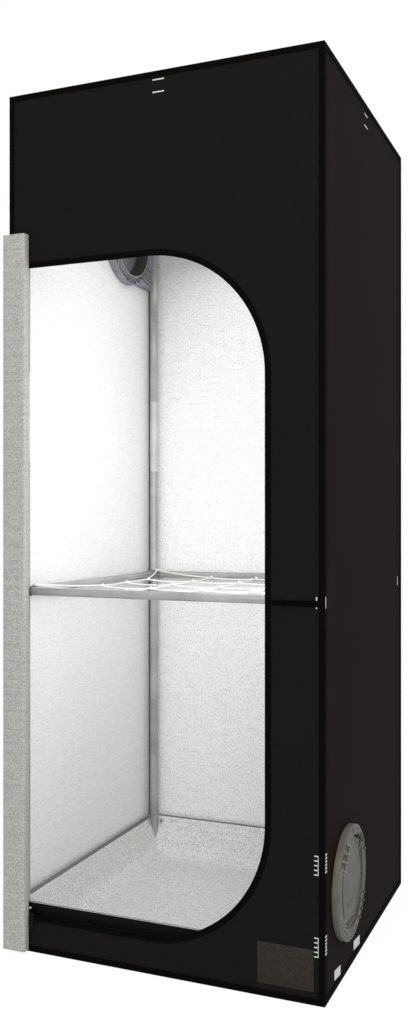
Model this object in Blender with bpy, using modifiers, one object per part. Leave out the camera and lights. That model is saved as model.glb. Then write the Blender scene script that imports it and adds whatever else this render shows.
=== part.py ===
"""Indoor grow tent: a poled frame, a zipped cover, a plant support ring and two round vents.

Metres, +Z up. The origin is the middle of the floor panel's underside, +X runs to the right
along the front, and +Y runs to the back.
"""

import math

import bmesh
import bpy
from mathutils import Matrix, Vector

# Whole tent, measured over the edge tape
WIDTH = 0.600
DEPTH = 0.600
HEIGHT = 1.565

# Cloth, and the fit between pieces that touch
CLOTH = 0.0015
TAPE = 0.0012
TAPE_BAND = 0.0105
GAP = 0.0003
OVERRUN = 0.010

# Frame tubes and their plug-in fittings
POLE_RADIUS = 0.0095
POLE_WALL = 0.0010
POLE_INSET = 0.021
STUB_LENGTH = 0.040
BALL_RADIUS = 0.0110
PAD_ROOT = 0.005
PAD_DROP = 0.0132
PAD_ROUND = 0.004
JOINER_BOTTOM = 0.895
JOINER_TOP = 1.060
JOINER_WALL = 0.0020

# Hanging bars
BAR_RADIUS = 0.008
BAR_WALL = 0.0010
BAR_SPREAD = 0.240
HOOK_WALL = 0.0030
HOOK_WIDTH = 0.022

# Plant support ring and its net
RING_HEIGHT = 0.655
RING_RADIUS = 0.008
RING_WALL = 0.0010
CLIP_WALL = 0.0032
CLIP_HEIGHT = 0.018
CLIP_COLLAR = 0.004
CLIP_STUB = 0.030
PEG_RADIUS = 0.0022
PEG_RISE = 0.0055
PEG_SEAT = 0.0055
PEG_SHARE = 0.9
CORD_RADIUS = 0.0015
KNOT_RADIUS = 0.0033
KNOT_TAPER_SHARE = 1.6
NET_INSET = 0.069
NET_SAG = 0.004
NET_CELLS = 4

# Door opening, its zip and the rolled door
DOOR_LEFT_MARGIN = 0.032
DOOR_RIGHT_MARGIN = 0.103
DOOR_TOP_MARGIN = 0.319
DOOR_BOTTOM = 0.067
DOOR_CORNER = 0.215
ZIP_BAND = 0.0105
ZIP_START = 0.006
ROLL_WIDTH = 0.046
ROLL_DEPTH = 0.017
ROLL_BOTTOM = 0.0045
ROLL_ABOVE_DOOR = 0.060
ROLL_PLY = 0.0017
ROLL_STEP = 0.0025
ROLL_HALF_TURNS = 5
ROLL_PRESSED_SHARE = 0.4
ROLL_OVERHANG = 0.003
SLIDER_LENGTH = 0.011
SLIDER_HEIGHT = 0.013
SLIDER_PLATE = 0.0022
SLIDER_BRIDGE = 0.0030
SLIDER_OFFSET = 0.001
PULL_LENGTH = 0.024
PULL_WIDTH = 0.007
PULL_THICK = 0.0016
PULL_EYE = 0.0017
POST_RADIUS = 0.0012

# Strap across the front
STRAP_BELOW_RING = 0.003
STRAP_BAND = 0.0095
STRAP_THICK = 0.0012
STRAP_MARGIN = 0.002

# Spill tray
TRAY_TOP = 0.0865
TRAY_LIP_IN = 0.0065
TRAY_SHOULDER_IN = 0.029
TRAY_SHOULDER_UP = 0.022
TRAY_TOE_IN = 0.047
TRAY_TOE_UP = 0.006
TRAY_FLAT_IN = 0.062
TRAY_POLE_CLEARANCE = 0.0008
TRAY_VENT_CLEARANCE = 0.003

# Vents, measured from the vent's axis and from the cloth
VENT_LOW = 0.158
VENT_DROP = 0.154
VENT_FROM_POLE = 0.119
FLANGE_RADIUS = 0.0975
FLANGE_PROUD = 0.0110
FLANGE_ROUND = 0.0015
SLEEVE_RADIUS = 0.0830
SLEEVE_WALL = 0.0035
SLEEVE_REACH = 0.0225
CAP_RADIUS = 0.0755
CAP_CLEARANCE = 0.0006
CAP_THICK = 0.0040
CAP_RECESS = 0.0020
CAP_DISH = 0.0014
CAP_RIM = 0.0040
LEDGE_WIDTH = 0.0050
LEDGE_THICK = 0.0024
CLAMP_RADIUS = 0.0980
CLAMP_DEPTH = 0.0180
CLAMP_WALL = 0.0026
CLAMP_WEB = 0.0024
LATTICE_CELLS = 20
LATTICE_RIB = 0.0016
BRACKET_HALF = 0.090
BRACKET_START_SHARE = 0.2
BRACKET_SLOT = 0.0045
BRACKET_SLOTS = 3
BRACKET_EDGE = 0.005
BRACKET_WRAP = 0.004
SLOT_SHARES = (0.42, 0.70, 0.55)
LUG_SPAN_DEG = 10
LUG_REACH = 0.0035
LUG_COUNT = 3
LUG_OFFSET_DEG = 3
POCKET_SPAN_DEG = 42
POCKET_START_DEG = 40
HOLE_RADIUS = 0.0014
HOLE_ANGLES_DEG = (34, 26, 18, 10, 2)
HOLE_ORBIT = 0.0690
BUMP_ANGLES_DEG = (40, 29, 18, -26, -35, -44, -54)
BUMP_RADIUS = 0.0026
TWIST_TAB_LENGTH = 0.034
TWIST_TAB_WIDTH = 0.006

# Facets on round pieces
TUBE_SIDES = 16
VENT_SIDES = 40
ARC_STEPS = 10
ROLL_BEND_STEPS = 6
LIMB_SIDES = 6
LOOP_SIDES = 12
CORD_SIDES = 6
BALL_SIDES = 12
BALL_RINGS = 6

# Places worked out from the sizes above
SKIN_OUT_X = WIDTH / 2 - TAPE - GAP
SKIN_OUT_Y = DEPTH / 2 - TAPE - GAP
SKIN_IN_X = SKIN_OUT_X - CLOTH
SKIN_IN_Y = SKIN_OUT_Y - CLOTH
ROOF_UNDER = HEIGHT - TAPE - GAP - CLOTH
POLE_X = WIDTH / 2 - POLE_INSET
POLE_Y = DEPTH / 2 - POLE_INSET
FLOOR_NODE = CLOTH + GAP + PAD_DROP
ROOF_NODE = ROOF_UNDER - GAP - PAD_DROP
STUB_RADIUS = POLE_RADIUS - POLE_WALL - GAP
TUBE_START = BALL_RADIUS + GAP
DOOR_LEFT = -WIDTH / 2 + DOOR_LEFT_MARGIN
DOOR_RIGHT = WIDTH / 2 - DOOR_RIGHT_MARGIN
DOOR_TOP = HEIGHT - DOOR_TOP_MARGIN
ROLL_TOP = DOOR_TOP + ROLL_ABOVE_DOOR
VENT_SIDE = POLE_Y - VENT_FROM_POLE
ROLL_LEFT = -WIDTH / 2 - ROLL_OVERHANG
ROLL_BACK = -DEPTH / 2 - GAP
ZIP_LEFT = ROLL_LEFT + ROLL_WIDTH - ZIP_START

LEFT, RIGHT = -1, 1
FRONT, BACK = -1, 1
DOWN, UP = -1, 1
SIDES = {"left": LEFT, "right": RIGHT}
ENDS = {"front": FRONT, "rear": BACK}


def clear_scene():
    """Empties the file that the script runs in."""
    for thing in list(bpy.data.objects):
        bpy.data.objects.remove(thing)


def collection(name):
    made = bpy.data.collections.new(name)
    bpy.context.scene.collection.children.link(made)
    return made


def material(name, colour, roughness, metallic=0.0):
    made = bpy.data.materials.new(name)
    made.use_nodes = True
    shader = made.node_tree.nodes["Principled BSDF"]
    shader.inputs["Base Color"].default_value = (*colour, 1.0)
    shader.inputs["Roughness"].default_value = roughness
    shader.inputs["Metallic"].default_value = metallic
    made.diffuse_color = (*colour, 1.0)
    return made


clear_scene()
TENT = collection("grow_tent")
CUTTERS = collection("cutters")

BLACK_CLOTH = material("black_cloth", (0.012, 0.011, 0.010), 0.75)
BINDING = material("binding", (0.004, 0.004, 0.004), 0.6)
SILVER_CLOTH = material("silver_cloth", (0.42, 0.41, 0.39), 0.45, 0.3)
STEEL = material("coated_steel", (0.33, 0.35, 0.33), 0.35, 0.6)
NYLON = material("nylon", (0.12, 0.12, 0.11), 0.5)
VENT_NYLON = material("vent_nylon", (0.13, 0.135, 0.12), 0.55)
CORD = material("cord", (0.80, 0.80, 0.78), 0.7)
ZIP_METAL = material("zip_metal", (0.02, 0.02, 0.02), 0.35, 0.3)


def add(name, mesh, finish=None, matrix=None, smooth=False):
    """A node of the tent, or a cutter when it has no finish."""
    thing = bpy.data.objects.new(name, mesh)
    if finish:
        mesh.materials.clear()
        mesh.materials.append(finish)
        TENT.objects.link(thing)
    else:
        CUTTERS.objects.link(thing)
        thing.hide_render = True
        thing.display_type = "WIRE"
    if matrix:
        thing.matrix_world = matrix
    if smooth:
        mesh.shade_smooth()
        mesh.set_sharp_from_angle(angle=math.radians(40))
    return thing


def mesh_of(shape, name):
    mesh = bpy.data.meshes.new(name)
    shape.to_mesh(mesh)
    shape.free()
    return mesh


def turned_to(axis, place):
    """A matrix that stands local +Z along axis, at place."""
    direction = Vector(axis).normalized()
    turn = direction.to_track_quat("Z", "Y").to_matrix().to_4x4()
    return Matrix.Translation(place) @ turn


def box(name, low, high, finish=None, rounding=0.0):
    """A block between two opposite corners, placed by its middle."""
    low, high = (Vector([pick(pair) for pair in zip(low, high)]) for pick in (min, max))
    shape = bmesh.new()
    bmesh.ops.create_cube(shape, size=1.0)
    bmesh.ops.scale(shape, vec=high - low, verts=shape.verts)
    if rounding:
        bmesh.ops.bevel(shape, geom=shape.edges, offset=rounding, segments=1, affect="EDGES")
    return add(name, mesh_of(shape, name), finish, Matrix.Translation((low + high) / 2))


def rod(name, radius, start, end, finish=None, sides=TUBE_SIDES, smooth=True):
    """A solid round bar from start to end."""
    start, end = Vector(start), Vector(end)
    shape = bmesh.new()
    bmesh.ops.create_cone(shape, cap_ends=True, segments=sides, radius1=radius, radius2=radius,
                          depth=(end - start).length)
    return add(name, mesh_of(shape, name), finish, turned_to(end - start, (start + end) / 2), smooth)


def ball(name, radius, place, finish=None, around=BALL_SIDES, rings=BALL_RINGS):
    shape = bmesh.new()
    bmesh.ops.create_uvsphere(shape, u_segments=around, v_segments=rings, radius=radius)
    return add(name, mesh_of(shape, name), finish, Matrix.Translation(place), smooth=True)


def turned(name, profile, place, axis, finish=None, sides=VENT_SIDES, smooth=True):
    """A closed profile of (radius, height) pairs, spun round its axis."""
    shape = bmesh.new()
    corners = [shape.verts.new((radius, 0, height)) for radius, height in profile]
    edges = [shape.edges.new(pair) for pair in zip(corners, corners[1:] + corners[:1])]
    bmesh.ops.spin(shape, geom=corners + edges, axis=(0, 0, 1), angle=math.tau, steps=sides, use_merge=True)
    bmesh.ops.recalc_face_normals(shape, faces=shape.faces)
    return add(name, mesh_of(shape, name), finish, turned_to(axis, place), smooth)


def ring_profile(inner, outer, bottom, top):
    """A square-cut ring, seen as one closed profile."""
    return [(outer, top), (outer, bottom), (inner, bottom), (inner, top)]


def tube(name, outer, wall, start, end, finish, sides=TUBE_SIDES):
    """A hollow bar from start to end."""
    start, end = Vector(start), Vector(end)
    length = (end - start).length
    return turned(name, ring_profile(outer - wall, outer, 0, length), start, end - start, finish, sides)


def cut(thing, *cutters):
    for cutter in cutters:
        boolean(thing, cutter, "DIFFERENCE")
    return thing


def join(thing, *others):
    for other in others:
        boolean(thing, other, "UNION")
    return thing


def boolean(thing, other, operation):
    change = thing.modifiers.new(other.name, "BOOLEAN")
    change.operation = operation
    change.solver = "EXACT"
    change.object = other


def outline(name, splines, thickness, matrix, finish=None):
    """A flat plate from closed outlines of (x, y) points: the first is its edge, the rest are holes."""
    curve = bpy.data.curves.new(name, "CURVE")
    curve.dimensions = "2D"
    curve.fill_mode = "BOTH"
    curve.extrude = thickness / 2
    for points in splines:
        spline = curve.splines.new("POLY")
        spline.points.add(len(points) - 1)
        for point, (x, y) in zip(spline.points, points):
            point.co = (x, y, 0, 1)
        spline.use_cyclic_u = True
    shaped = bpy.data.objects.new(name, curve)
    CUTTERS.objects.link(shaped)
    bpy.context.view_layer.update()
    mesh = bpy.data.meshes.new_from_object(shaped.evaluated_get(bpy.context.evaluated_depsgraph_get()))
    bpy.data.objects.remove(shaped)
    shape = bmesh.new()
    shape.from_mesh(mesh)
    bmesh.ops.remove_doubles(shape, verts=shape.verts, dist=GAP / 10)
    bmesh.ops.recalc_face_normals(shape, faces=shape.faces)
    shape.to_mesh(mesh)
    shape.free()
    return add(name, mesh, finish, matrix)


def rectangle(low_x, high_x, low_y, high_y):
    return [(low_x, low_y), (high_x, low_y), (high_x, high_y), (low_x, high_y)]


def circle(radius, middle=(0, 0), sides=VENT_SIDES):
    turns = [2 * math.pi * i / sides for i in range(sides)]
    return [(middle[0] + radius * math.cos(a), middle[1] + radius * math.sin(a)) for a in turns]


def upright_plane(y):
    """Stands an outline up facing the front: its x is X and its y is Z."""
    return Matrix.Translation((0, y, 0)) @ Matrix.Rotation(math.radians(90), 4, "X")


def side_plane(x):
    """Stands an outline up facing the side: its x is Y and its y is Z."""
    return Matrix.Translation((x, 0, 0)) @ Matrix(((0, 0, 1, 0), (1, 0, 0, 0), (0, 1, 0, 0), (0, 0, 0, 1)))


def frame_corner(x_side, y_side, height):
    return Vector((x_side * POLE_X, y_side * POLE_Y, height))


def connector(name, x_side, y_side, level, height):
    """A corner fitting: a core with three stubs, and a pad outside it that carries the cover."""
    at = frame_corner(x_side, y_side, height)
    inward = (Vector((-x_side, 0, 0)), Vector((0, -y_side, 0)), Vector((0, 0, -level)))
    thing = ball(name, BALL_RADIUS, at, NYLON)
    stubs = [rod(f"{name}_stub_{i}", STUB_RADIUS, at, at + way * (TUBE_START + STUB_LENGTH))
             for i, way in enumerate(inward)]
    root = at + sum((way * PAD_ROOT for way in inward), Vector())
    reach = Vector((x_side * (SKIN_IN_X - GAP), y_side * (SKIN_IN_Y - GAP), height + level * PAD_DROP))
    low = [min(a, b) for a, b in zip(root, reach)]
    high = [max(a, b) for a, b in zip(root, reach)]
    return join(thing, box(f"{name}_pad", low, high, rounding=PAD_ROUND), *stubs)


def build_frame():
    for end_name, y_side in ENDS.items():
        for side_name, x_side in SIDES.items():
            where = f"{end_name}_{side_name}"
            connector(f"floor_connector_{where}", x_side, y_side, DOWN, FLOOR_NODE)
            connector(f"roof_connector_{where}", x_side, y_side, UP, ROOF_NODE)
            upright(where, x_side, y_side)
    for level_name, height in {"floor": FLOOR_NODE, "roof": ROOF_NODE}.items():
        for end_name, y_side in ENDS.items():
            start = frame_corner(LEFT, y_side, height) + Vector((TUBE_START, 0, 0))
            end = frame_corner(RIGHT, y_side, height) - Vector((TUBE_START, 0, 0))
            tube(f"{level_name}_rail_{end_name}", POLE_RADIUS, POLE_WALL, start, end, STEEL)
        for side_name, x_side in SIDES.items():
            start = frame_corner(x_side, FRONT, height) + Vector((0, TUBE_START, 0))
            end = frame_corner(x_side, BACK, height) - Vector((0, TUBE_START, 0))
            tube(f"{level_name}_rail_{side_name}", POLE_RADIUS, POLE_WALL, start, end, STEEL)


def upright(where, x_side, y_side):
    """Lower pole, joiner and upper pole."""
    def at(height):
        return frame_corner(x_side, y_side, height)

    tube(f"lower_pole_{where}", POLE_RADIUS, POLE_WALL, at(FLOOR_NODE + TUBE_START), at(JOINER_BOTTOM), STEEL)
    tube(f"upper_pole_{where}", POLE_RADIUS, POLE_WALL, at(JOINER_TOP), at(ROOF_NODE - TUBE_START), STEEL)
    length = JOINER_TOP - JOINER_BOTTOM - 2 * GAP
    bore = STUB_RADIUS - JOINER_WALL
    profile = [
        (STUB_RADIUS, length + STUB_LENGTH), (STUB_RADIUS, length), (POLE_RADIUS, length), (POLE_RADIUS, 0),
        (STUB_RADIUS, 0), (STUB_RADIUS, -STUB_LENGTH), (bore, -STUB_LENGTH), (bore, length + STUB_LENGTH),
    ]
    turned(f"joiner_{where}", profile, at(JOINER_BOTTOM + GAP), (0, 0, 1), STEEL, TUBE_SIDES)


def hanging_bar(name, y):
    """A tube across the roof, with a hook over each side rail."""
    hook_inner = POLE_RADIUS + GAP
    hook_outer = hook_inner + HOOK_WALL
    reach = POLE_X - hook_inner - HOOK_WALL / 2
    bar = rod(name, BAR_RADIUS, (-reach, y, ROOF_NODE), (reach, y, ROOF_NODE), STEEL)
    for side in (LEFT, RIGHT):
        middle = Vector((side * POLE_X, y - HOOK_WIDTH / 2, ROOF_NODE))
        hook = turned(f"{name}_hook", ring_profile(hook_inner, hook_outer, 0, HOOK_WIDTH), middle, (0, 1, 0),
                      sides=TUBE_SIDES)
        away = hook_outer + OVERRUN
        low_y, high_y = middle.y - OVERRUN, y + HOOK_WIDTH / 2 + OVERRUN
        lower = box(f"{name}_mouth", (middle.x - away, low_y, ROOF_NODE - away),
                    (middle.x + away, high_y, ROOF_NODE - BAR_RADIUS))
        outer = box(f"{name}_lip", (middle.x, low_y, ROOF_NODE - away),
                    (middle.x + side * away, high_y, ROOF_NODE))
        join(bar, cut(hook, lower, outer))
    bore = BAR_RADIUS - BAR_WALL
    return cut(bar, rod(f"{name}_bore", bore, (-POLE_X, y, ROOF_NODE), (POLE_X, y, ROOF_NODE)))


def ring_clip(where, x_side, y_side):
    """A sleeve round one upright, with two stubs for the ring bars and a peg for the net."""
    at = frame_corner(x_side, y_side, RING_HEIGHT)
    name = f"ring_clip_{where}"
    outer = POLE_RADIUS + GAP + CLIP_WALL
    low = Vector((0, 0, CLIP_HEIGHT / 2))
    sleeve = rod(name, outer, at - low, at + low, NYLON)
    for way in (Vector((-x_side, 0, 0)), Vector((0, -y_side, 0))):
        neck = at + way * (outer + CLIP_COLLAR)
        stub = RING_RADIUS - RING_WALL - GAP
        join(sleeve, rod(f"{name}_collar", RING_RADIUS, at, neck))
        join(sleeve, rod(f"{name}_stub", stub, neck - way * CLIP_COLLAR, neck + way * CLIP_STUB))
    inward = Vector((-x_side, -y_side, 0)).normalized()
    peg = at + inward * (outer + PEG_SEAT)
    arm_height = Vector((0, 0, CLIP_HEIGHT / 2 - PEG_RADIUS))
    join(sleeve, rod(f"{name}_arm", PEG_RADIUS, at + arm_height, peg + arm_height + inward * PEG_RADIUS,
                     sides=LIMB_SIDES))
    join(sleeve, rod(f"{name}_peg", PEG_RADIUS * PEG_SHARE, peg + arm_height,
                     peg + arm_height + Vector((0, 0, PEG_RISE)), sides=LIMB_SIDES))
    grip = Vector((0, 0, CLIP_HEIGHT / 2 + OVERRUN))
    return cut(sleeve, rod(f"{name}_grip", POLE_RADIUS + GAP, at - grip, at + grip))


def build_ring():
    start = POLE_RADIUS + GAP + CLIP_WALL + CLIP_COLLAR + GAP
    for end_name, y_side in ENDS.items():
        for side_name, x_side in SIDES.items():
            ring_clip(f"{end_name}_{side_name}", x_side, y_side)
        one = frame_corner(LEFT, y_side, RING_HEIGHT) + Vector((start, 0, 0))
        other = frame_corner(RIGHT, y_side, RING_HEIGHT) - Vector((start, 0, 0))
        tube(f"ring_bar_{end_name}", RING_RADIUS, RING_WALL, one, other, STEEL)
    for side_name, x_side in SIDES.items():
        one = frame_corner(x_side, FRONT, RING_HEIGHT) + Vector((0, start, 0))
        other = frame_corner(x_side, BACK, RING_HEIGHT) - Vector((0, start, 0))
        tube(f"ring_bar_{side_name}", RING_RADIUS, RING_WALL, one, other, STEEL)
    net()


def net():
    """A square net with a knot at each crossing, and a loop over a peg at each corner."""
    outer = POLE_RADIUS + GAP + CLIP_WALL
    loop_height = RING_HEIGHT + CLIP_HEIGHT / 2 + GAP + CORD_RADIUS
    loop_radius = PEG_RADIUS + GAP + CORD_RADIUS
    corner_in = (outer + PEG_SEAT + loop_radius) / math.sqrt(2)
    shape = bmesh.new()
    bmesh.ops.create_grid(shape, x_segments=NET_CELLS, y_segments=NET_CELLS, size=1.0)
    knots = []
    for vert in shape.verts:
        across, along = vert.co.xy
        if abs(across) + abs(along) > 2 - 1 / NET_CELLS:
            vert.co = (math.copysign(POLE_X - corner_in, across), math.copysign(POLE_Y - corner_in, along),
                       loop_height)
        else:
            sag = NET_SAG * (1 - max(abs(across), abs(along)))
            vert.co = (across * (POLE_X - NET_INSET), along * (POLE_Y - NET_INSET), RING_HEIGHT - sag)
            knots.append(vert)
    for knot in knots:
        for edge in list(knot.link_edges):
            bmesh.utils.edge_split(edge, knot, KNOT_RADIUS * KNOT_TAPER_SHARE / edge.calc_length())
    shape.verts.index_update()
    thick = [knot.index for knot in knots]
    thing = add("plant_net", mesh_of(shape, "plant_net"), CORD)
    thing.vertex_groups.new(name="knots").add(thick, 1.0, "REPLACE")
    wires = thing.modifiers.new("cords", "WIREFRAME")
    wires.thickness = KNOT_RADIUS * 2
    wires.vertex_group = "knots"
    wires.thickness_vertex_group = CORD_RADIUS / KNOT_RADIUS
    wires.use_boundary = True
    wires.use_even_offset = False
    wires.use_replace = True
    for x_side in (LEFT, RIGHT):
        for y_side in (FRONT, BACK):
            away = Vector((-x_side, -y_side, 0)).normalized() * (outer + PEG_SEAT)
            loop = turned("loop", circle(CORD_RADIUS, (loop_radius, 0), CORD_SIDES)[::-1],
                          frame_corner(x_side, y_side, loop_height) + away, (0, 0, 1), sides=LOOP_SIDES)
            join(thing, loop)


def door_outline(grow, left):
    """The D shaped door edge from its lower left to its upper left, moved outwards by grow."""
    radius = DOOR_CORNER + grow
    middle_x = DOOR_RIGHT - DOOR_CORNER
    points = [(left, DOOR_BOTTOM - grow)]
    for middle_y, start in ((DOOR_BOTTOM + DOOR_CORNER, -90), (DOOR_TOP - DOOR_CORNER, 0)):
        for i in range(ARC_STEPS + 1):
            angle = math.radians(start + 90 * i / ARC_STEPS)
            points.append((middle_x + radius * math.cos(angle), middle_y + radius * math.sin(angle)))
    return points + [(left, DOOR_TOP + grow)]


def build_cover():
    low, high = CLOTH + GAP, ROOF_UNDER - GAP
    wall = rectangle(-SKIN_OUT_X, SKIN_OUT_X, low, high)
    outline("front_panel", [wall, door_outline(0, DOOR_LEFT)], CLOTH, upright_plane(-SKIN_OUT_Y + CLOTH / 2),
            BLACK_CLOTH)
    box("back_panel", (-SKIN_OUT_X, SKIN_IN_Y, low), (SKIN_OUT_X, SKIN_OUT_Y, high), BLACK_CLOTH)
    flank = rectangle(-SKIN_IN_Y + GAP, SKIN_IN_Y - GAP, low, high)
    names = {side: name for name, side in SIDES.items()}
    for _, side, y, z in vent_places():
        outline(f"{names[side]}_panel", [flank, circle(SLEEVE_RADIUS + GAP, (y, z))], CLOTH,
                side_plane(side * (SKIN_OUT_X - CLOTH / 2)), BLACK_CLOTH)
    box("roof_panel", (-SKIN_OUT_X, -SKIN_OUT_Y, ROOF_UNDER), (SKIN_OUT_X, SKIN_OUT_Y, ROOF_UNDER + CLOTH),
        BLACK_CLOTH)
    box("floor_panel", (-SKIN_OUT_X, -SKIN_OUT_Y, 0), (SKIN_OUT_X, SKIN_OUT_Y, CLOTH), BLACK_CLOTH)
    edge_tape()
    zip_edge = door_outline(ZIP_BAND, ZIP_LEFT) + door_outline(0, ZIP_LEFT)[::-1]
    outline("zip_tape", [zip_edge], TAPE, upright_plane(-DEPTH / 2 + TAPE / 2), BINDING)
    strap_left = DOOR_RIGHT + ZIP_BAND + STRAP_MARGIN
    strap_right = WIDTH / 2 - TAPE_BAND - STRAP_MARGIN
    low, high = (RING_HEIGHT - STRAP_BELOW_RING + side * STRAP_BAND / 2 for side in (DOWN, UP))
    back = -SKIN_OUT_Y - GAP
    box("front_strap", (strap_left, back - STRAP_THICK, low), (strap_right, back, high), BINDING)


def edge_tape():
    """Binding round all twelve seams, as one cage."""
    half_x, half_y = WIDTH / 2, DEPTH / 2
    cage = box("edge_tape", (-half_x, -half_y, GAP), (half_x, half_y, HEIGHT), BINDING)
    inside = box("tape_inside", (-half_x + TAPE, -half_y + TAPE, -OVERRUN),
                 (half_x - TAPE, half_y - TAPE, HEIGHT - TAPE))
    near_x, near_y, near_top = half_x - TAPE_BAND, half_y - TAPE_BAND, HEIGHT - TAPE_BAND
    far_x, far_y = half_x + OVERRUN, half_y + OVERRUN
    window_x = box("tape_window_x", (-far_x, -near_y, TAPE_BAND), (far_x, near_y, near_top))
    window_y = box("tape_window_y", (-near_x, -far_y, TAPE_BAND), (near_x, far_y, near_top))
    window_z = box("tape_window_z", (-near_x, -near_y, HEIGHT / 2), (near_x, near_y, HEIGHT + OVERRUN))
    return cut(cage, inside, window_x, window_y, window_z)


def squared(share):
    """A share of a round end, pushed out towards the corners of a pressed flat roll."""
    return math.copysign(abs(share) ** ROLL_PRESSED_SHARE, share)


def roll_outline():
    """The rolled door seen from above: its seam at the back left, then wound in, half turn by half turn."""
    flat = (ROLL_WIDTH - ROLL_DEPTH) / 2
    outside = [(-ROLL_WIDTH / 2, ROLL_DEPTH / 2)]
    inside = [(-ROLL_WIDTH / 2, ROLL_DEPTH / 2 - ROLL_PLY)]
    for half_turn in range(ROLL_HALF_TURNS):
        side, tightens = (1, 0) if half_turn % 2 == 0 else (-1, 1)
        for i in range(ROLL_BEND_STEPS + 1):
            share = i / ROLL_BEND_STEPS
            angle = math.radians(90 - 180 * (half_turn + share))
            across, outward = squared(math.cos(angle)), squared(math.sin(angle))
            radius = ROLL_DEPTH / 2 - ROLL_STEP * (half_turn // 2 + tightens * share)
            for line, reach in ((outside, radius), (inside, radius - ROLL_PLY)):
                line.append((side * flat + reach * across, reach * outward))
    return outside + inside[::-1]


def door_roll():
    height = ROLL_TOP - ROLL_BOTTOM
    middle = (ROLL_LEFT + ROLL_WIDTH / 2, ROLL_BACK - ROLL_DEPTH / 2, ROLL_BOTTOM + height / 2)
    roll = outline("door_roll", [roll_outline()], height, Matrix.Translation(middle), SILVER_CLOTH)
    hinge = bpy.data.objects.new("door_seam", None)
    TENT.objects.link(hinge)
    hinge.location = (ROLL_LEFT, ROLL_BACK, 0)
    bpy.context.view_layer.update()
    roll.parent = hinge
    roll.matrix_parent_inverse = hinge.matrix_world.inverted()


def zip_slider():
    """A clasp folded over the zip's edge, with a post for its pull."""
    left = ROLL_LEFT + ROLL_WIDTH + SLIDER_OFFSET
    right = left + SLIDER_LENGTH
    edge = DOOR_BOTTOM
    front, back = -DEPTH / 2 - GAP, -SKIN_IN_Y + GAP
    body = box("zip_slider", (left, front - SLIDER_PLATE, edge + GAP + SLIDER_BRIDGE - SLIDER_HEIGHT),
               (right, back + SLIDER_PLATE, edge + GAP + SLIDER_BRIDGE), ZIP_METAL)
    slot = box("slider_slot", (left - OVERRUN, front, edge - SLIDER_HEIGHT - OVERRUN),
               (right + OVERRUN, back, edge + GAP))
    cut(body, slot)
    post_x, post_z = (left + right) / 2, edge + GAP + SLIDER_BRIDGE - SLIDER_HEIGHT / 2
    post_end = front - SLIDER_PLATE - GAP - PULL_THICK - GAP
    join(body, rod("slider_post", POST_RADIUS, (post_x, front - SLIDER_PLATE / 2, post_z),
                   (post_x, post_end - POST_RADIUS, post_z), sides=LIMB_SIDES))
    join(body, rod("slider_button", POST_RADIUS * 2, (post_x, post_end, post_z),
                   (post_x, post_end - POST_RADIUS, post_z), sides=LIMB_SIDES))
    pull_y = front - SLIDER_PLATE - GAP - PULL_THICK / 2
    tab = rectangle(-PULL_WIDTH / 2, PULL_WIDTH / 2, PULL_WIDTH / 2 - PULL_LENGTH, PULL_WIDTH / 2)
    pivot = Matrix.Translation((post_x, pull_y, post_z)) @ Matrix.Rotation(math.radians(90), 4, "X")
    outline("zip_pull", [tab, circle(PULL_EYE, sides=LIMB_SIDES)], PULL_THICK, pivot, ZIP_METAL)


def spill_tray():
    """A sewn tray: flat floor, a toe that climbs over the rails, and walls that lean on the cover."""
    floor = CLOTH + GAP
    rings = ((TRAY_FLAT_IN, floor), (TRAY_TOE_IN, TRAY_TOE_UP), (TRAY_SHOULDER_IN, TRAY_SHOULDER_UP),
             (TRAY_LIP_IN, TRAY_TOP))
    shape = bmesh.new()
    bmesh.ops.create_grid(shape, x_segments=1, y_segments=1, size=1.0)
    for vert in shape.verts:
        vert.co = corner_in(vert.co, *rings[0])
    for inset, height in rings[1:]:
        border = [edge for edge in shape.edges if edge.is_boundary]
        grown = bmesh.ops.extrude_edge_only(shape, edges=border)["geom"]
        for vert in (item for item in grown if isinstance(item, bmesh.types.BMVert)):
            vert.co = corner_in(vert.co, inset, height)
    bmesh.ops.recalc_face_normals(shape, faces=shape.faces)
    if sum(face.normal.z for face in shape.faces) < 0:
        bmesh.ops.reverse_faces(shape, faces=shape.faces)
    tray = add("spill_tray", mesh_of(shape, "spill_tray"), SILVER_CLOTH)
    wall = tray.modifiers.new("cloth", "SOLIDIFY")
    wall.thickness = CLOTH
    wall.offset = 1
    wall.use_even_offset = True
    for x_side in (LEFT, RIGHT):
        for y_side in (FRONT, BACK):
            foot = frame_corner(x_side, y_side, 0)
            top = frame_corner(x_side, y_side, TRAY_TOP + OVERRUN)
            cut(tray, rod("pole_slot", POLE_RADIUS + TRAY_POLE_CLEARANCE, foot, top))
    deep = SKIN_IN_X - CLAMP_DEPTH - TRAY_VENT_CLEARANCE
    reach = CLAMP_RADIUS + TRAY_VENT_CLEARANCE
    notch = box("vent_notch", (deep, -DEPTH / 2, VENT_LOW - BRACKET_HALF - TRAY_VENT_CLEARANCE),
                (WIDTH / 2, -VENT_SIDE, TRAY_TOP + OVERRUN))
    hollow = rod("vent_hollow", reach, (deep, -VENT_SIDE, VENT_LOW), (WIDTH / 2, -VENT_SIDE, VENT_LOW),
                 sides=VENT_SIDES)
    return cut(tray, notch, hollow)


def corner_in(corner, inset, height):
    """A tray corner on the same side as corner, that far in from the cover."""
    return (math.copysign(SKIN_IN_X - inset, corner.x), math.copysign(SKIN_IN_Y - inset, corner.y), height)


def vent_places():
    """Each vent's name, the side wall that holds it, and its centre along Y and Z."""
    return (("vent_low", RIGHT, -VENT_SIDE, VENT_LOW), ("vent_high", LEFT, VENT_SIDE, HEIGHT - VENT_DROP))


def pocket_starts():
    return [POCKET_START_DEG + 360 * i / LUG_COUNT for i in range(LUG_COUNT)]


def polar(radius, degrees, height=0.0):
    angle = math.radians(degrees)
    return Vector((radius * math.cos(angle), radius * math.sin(angle), height))


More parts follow.
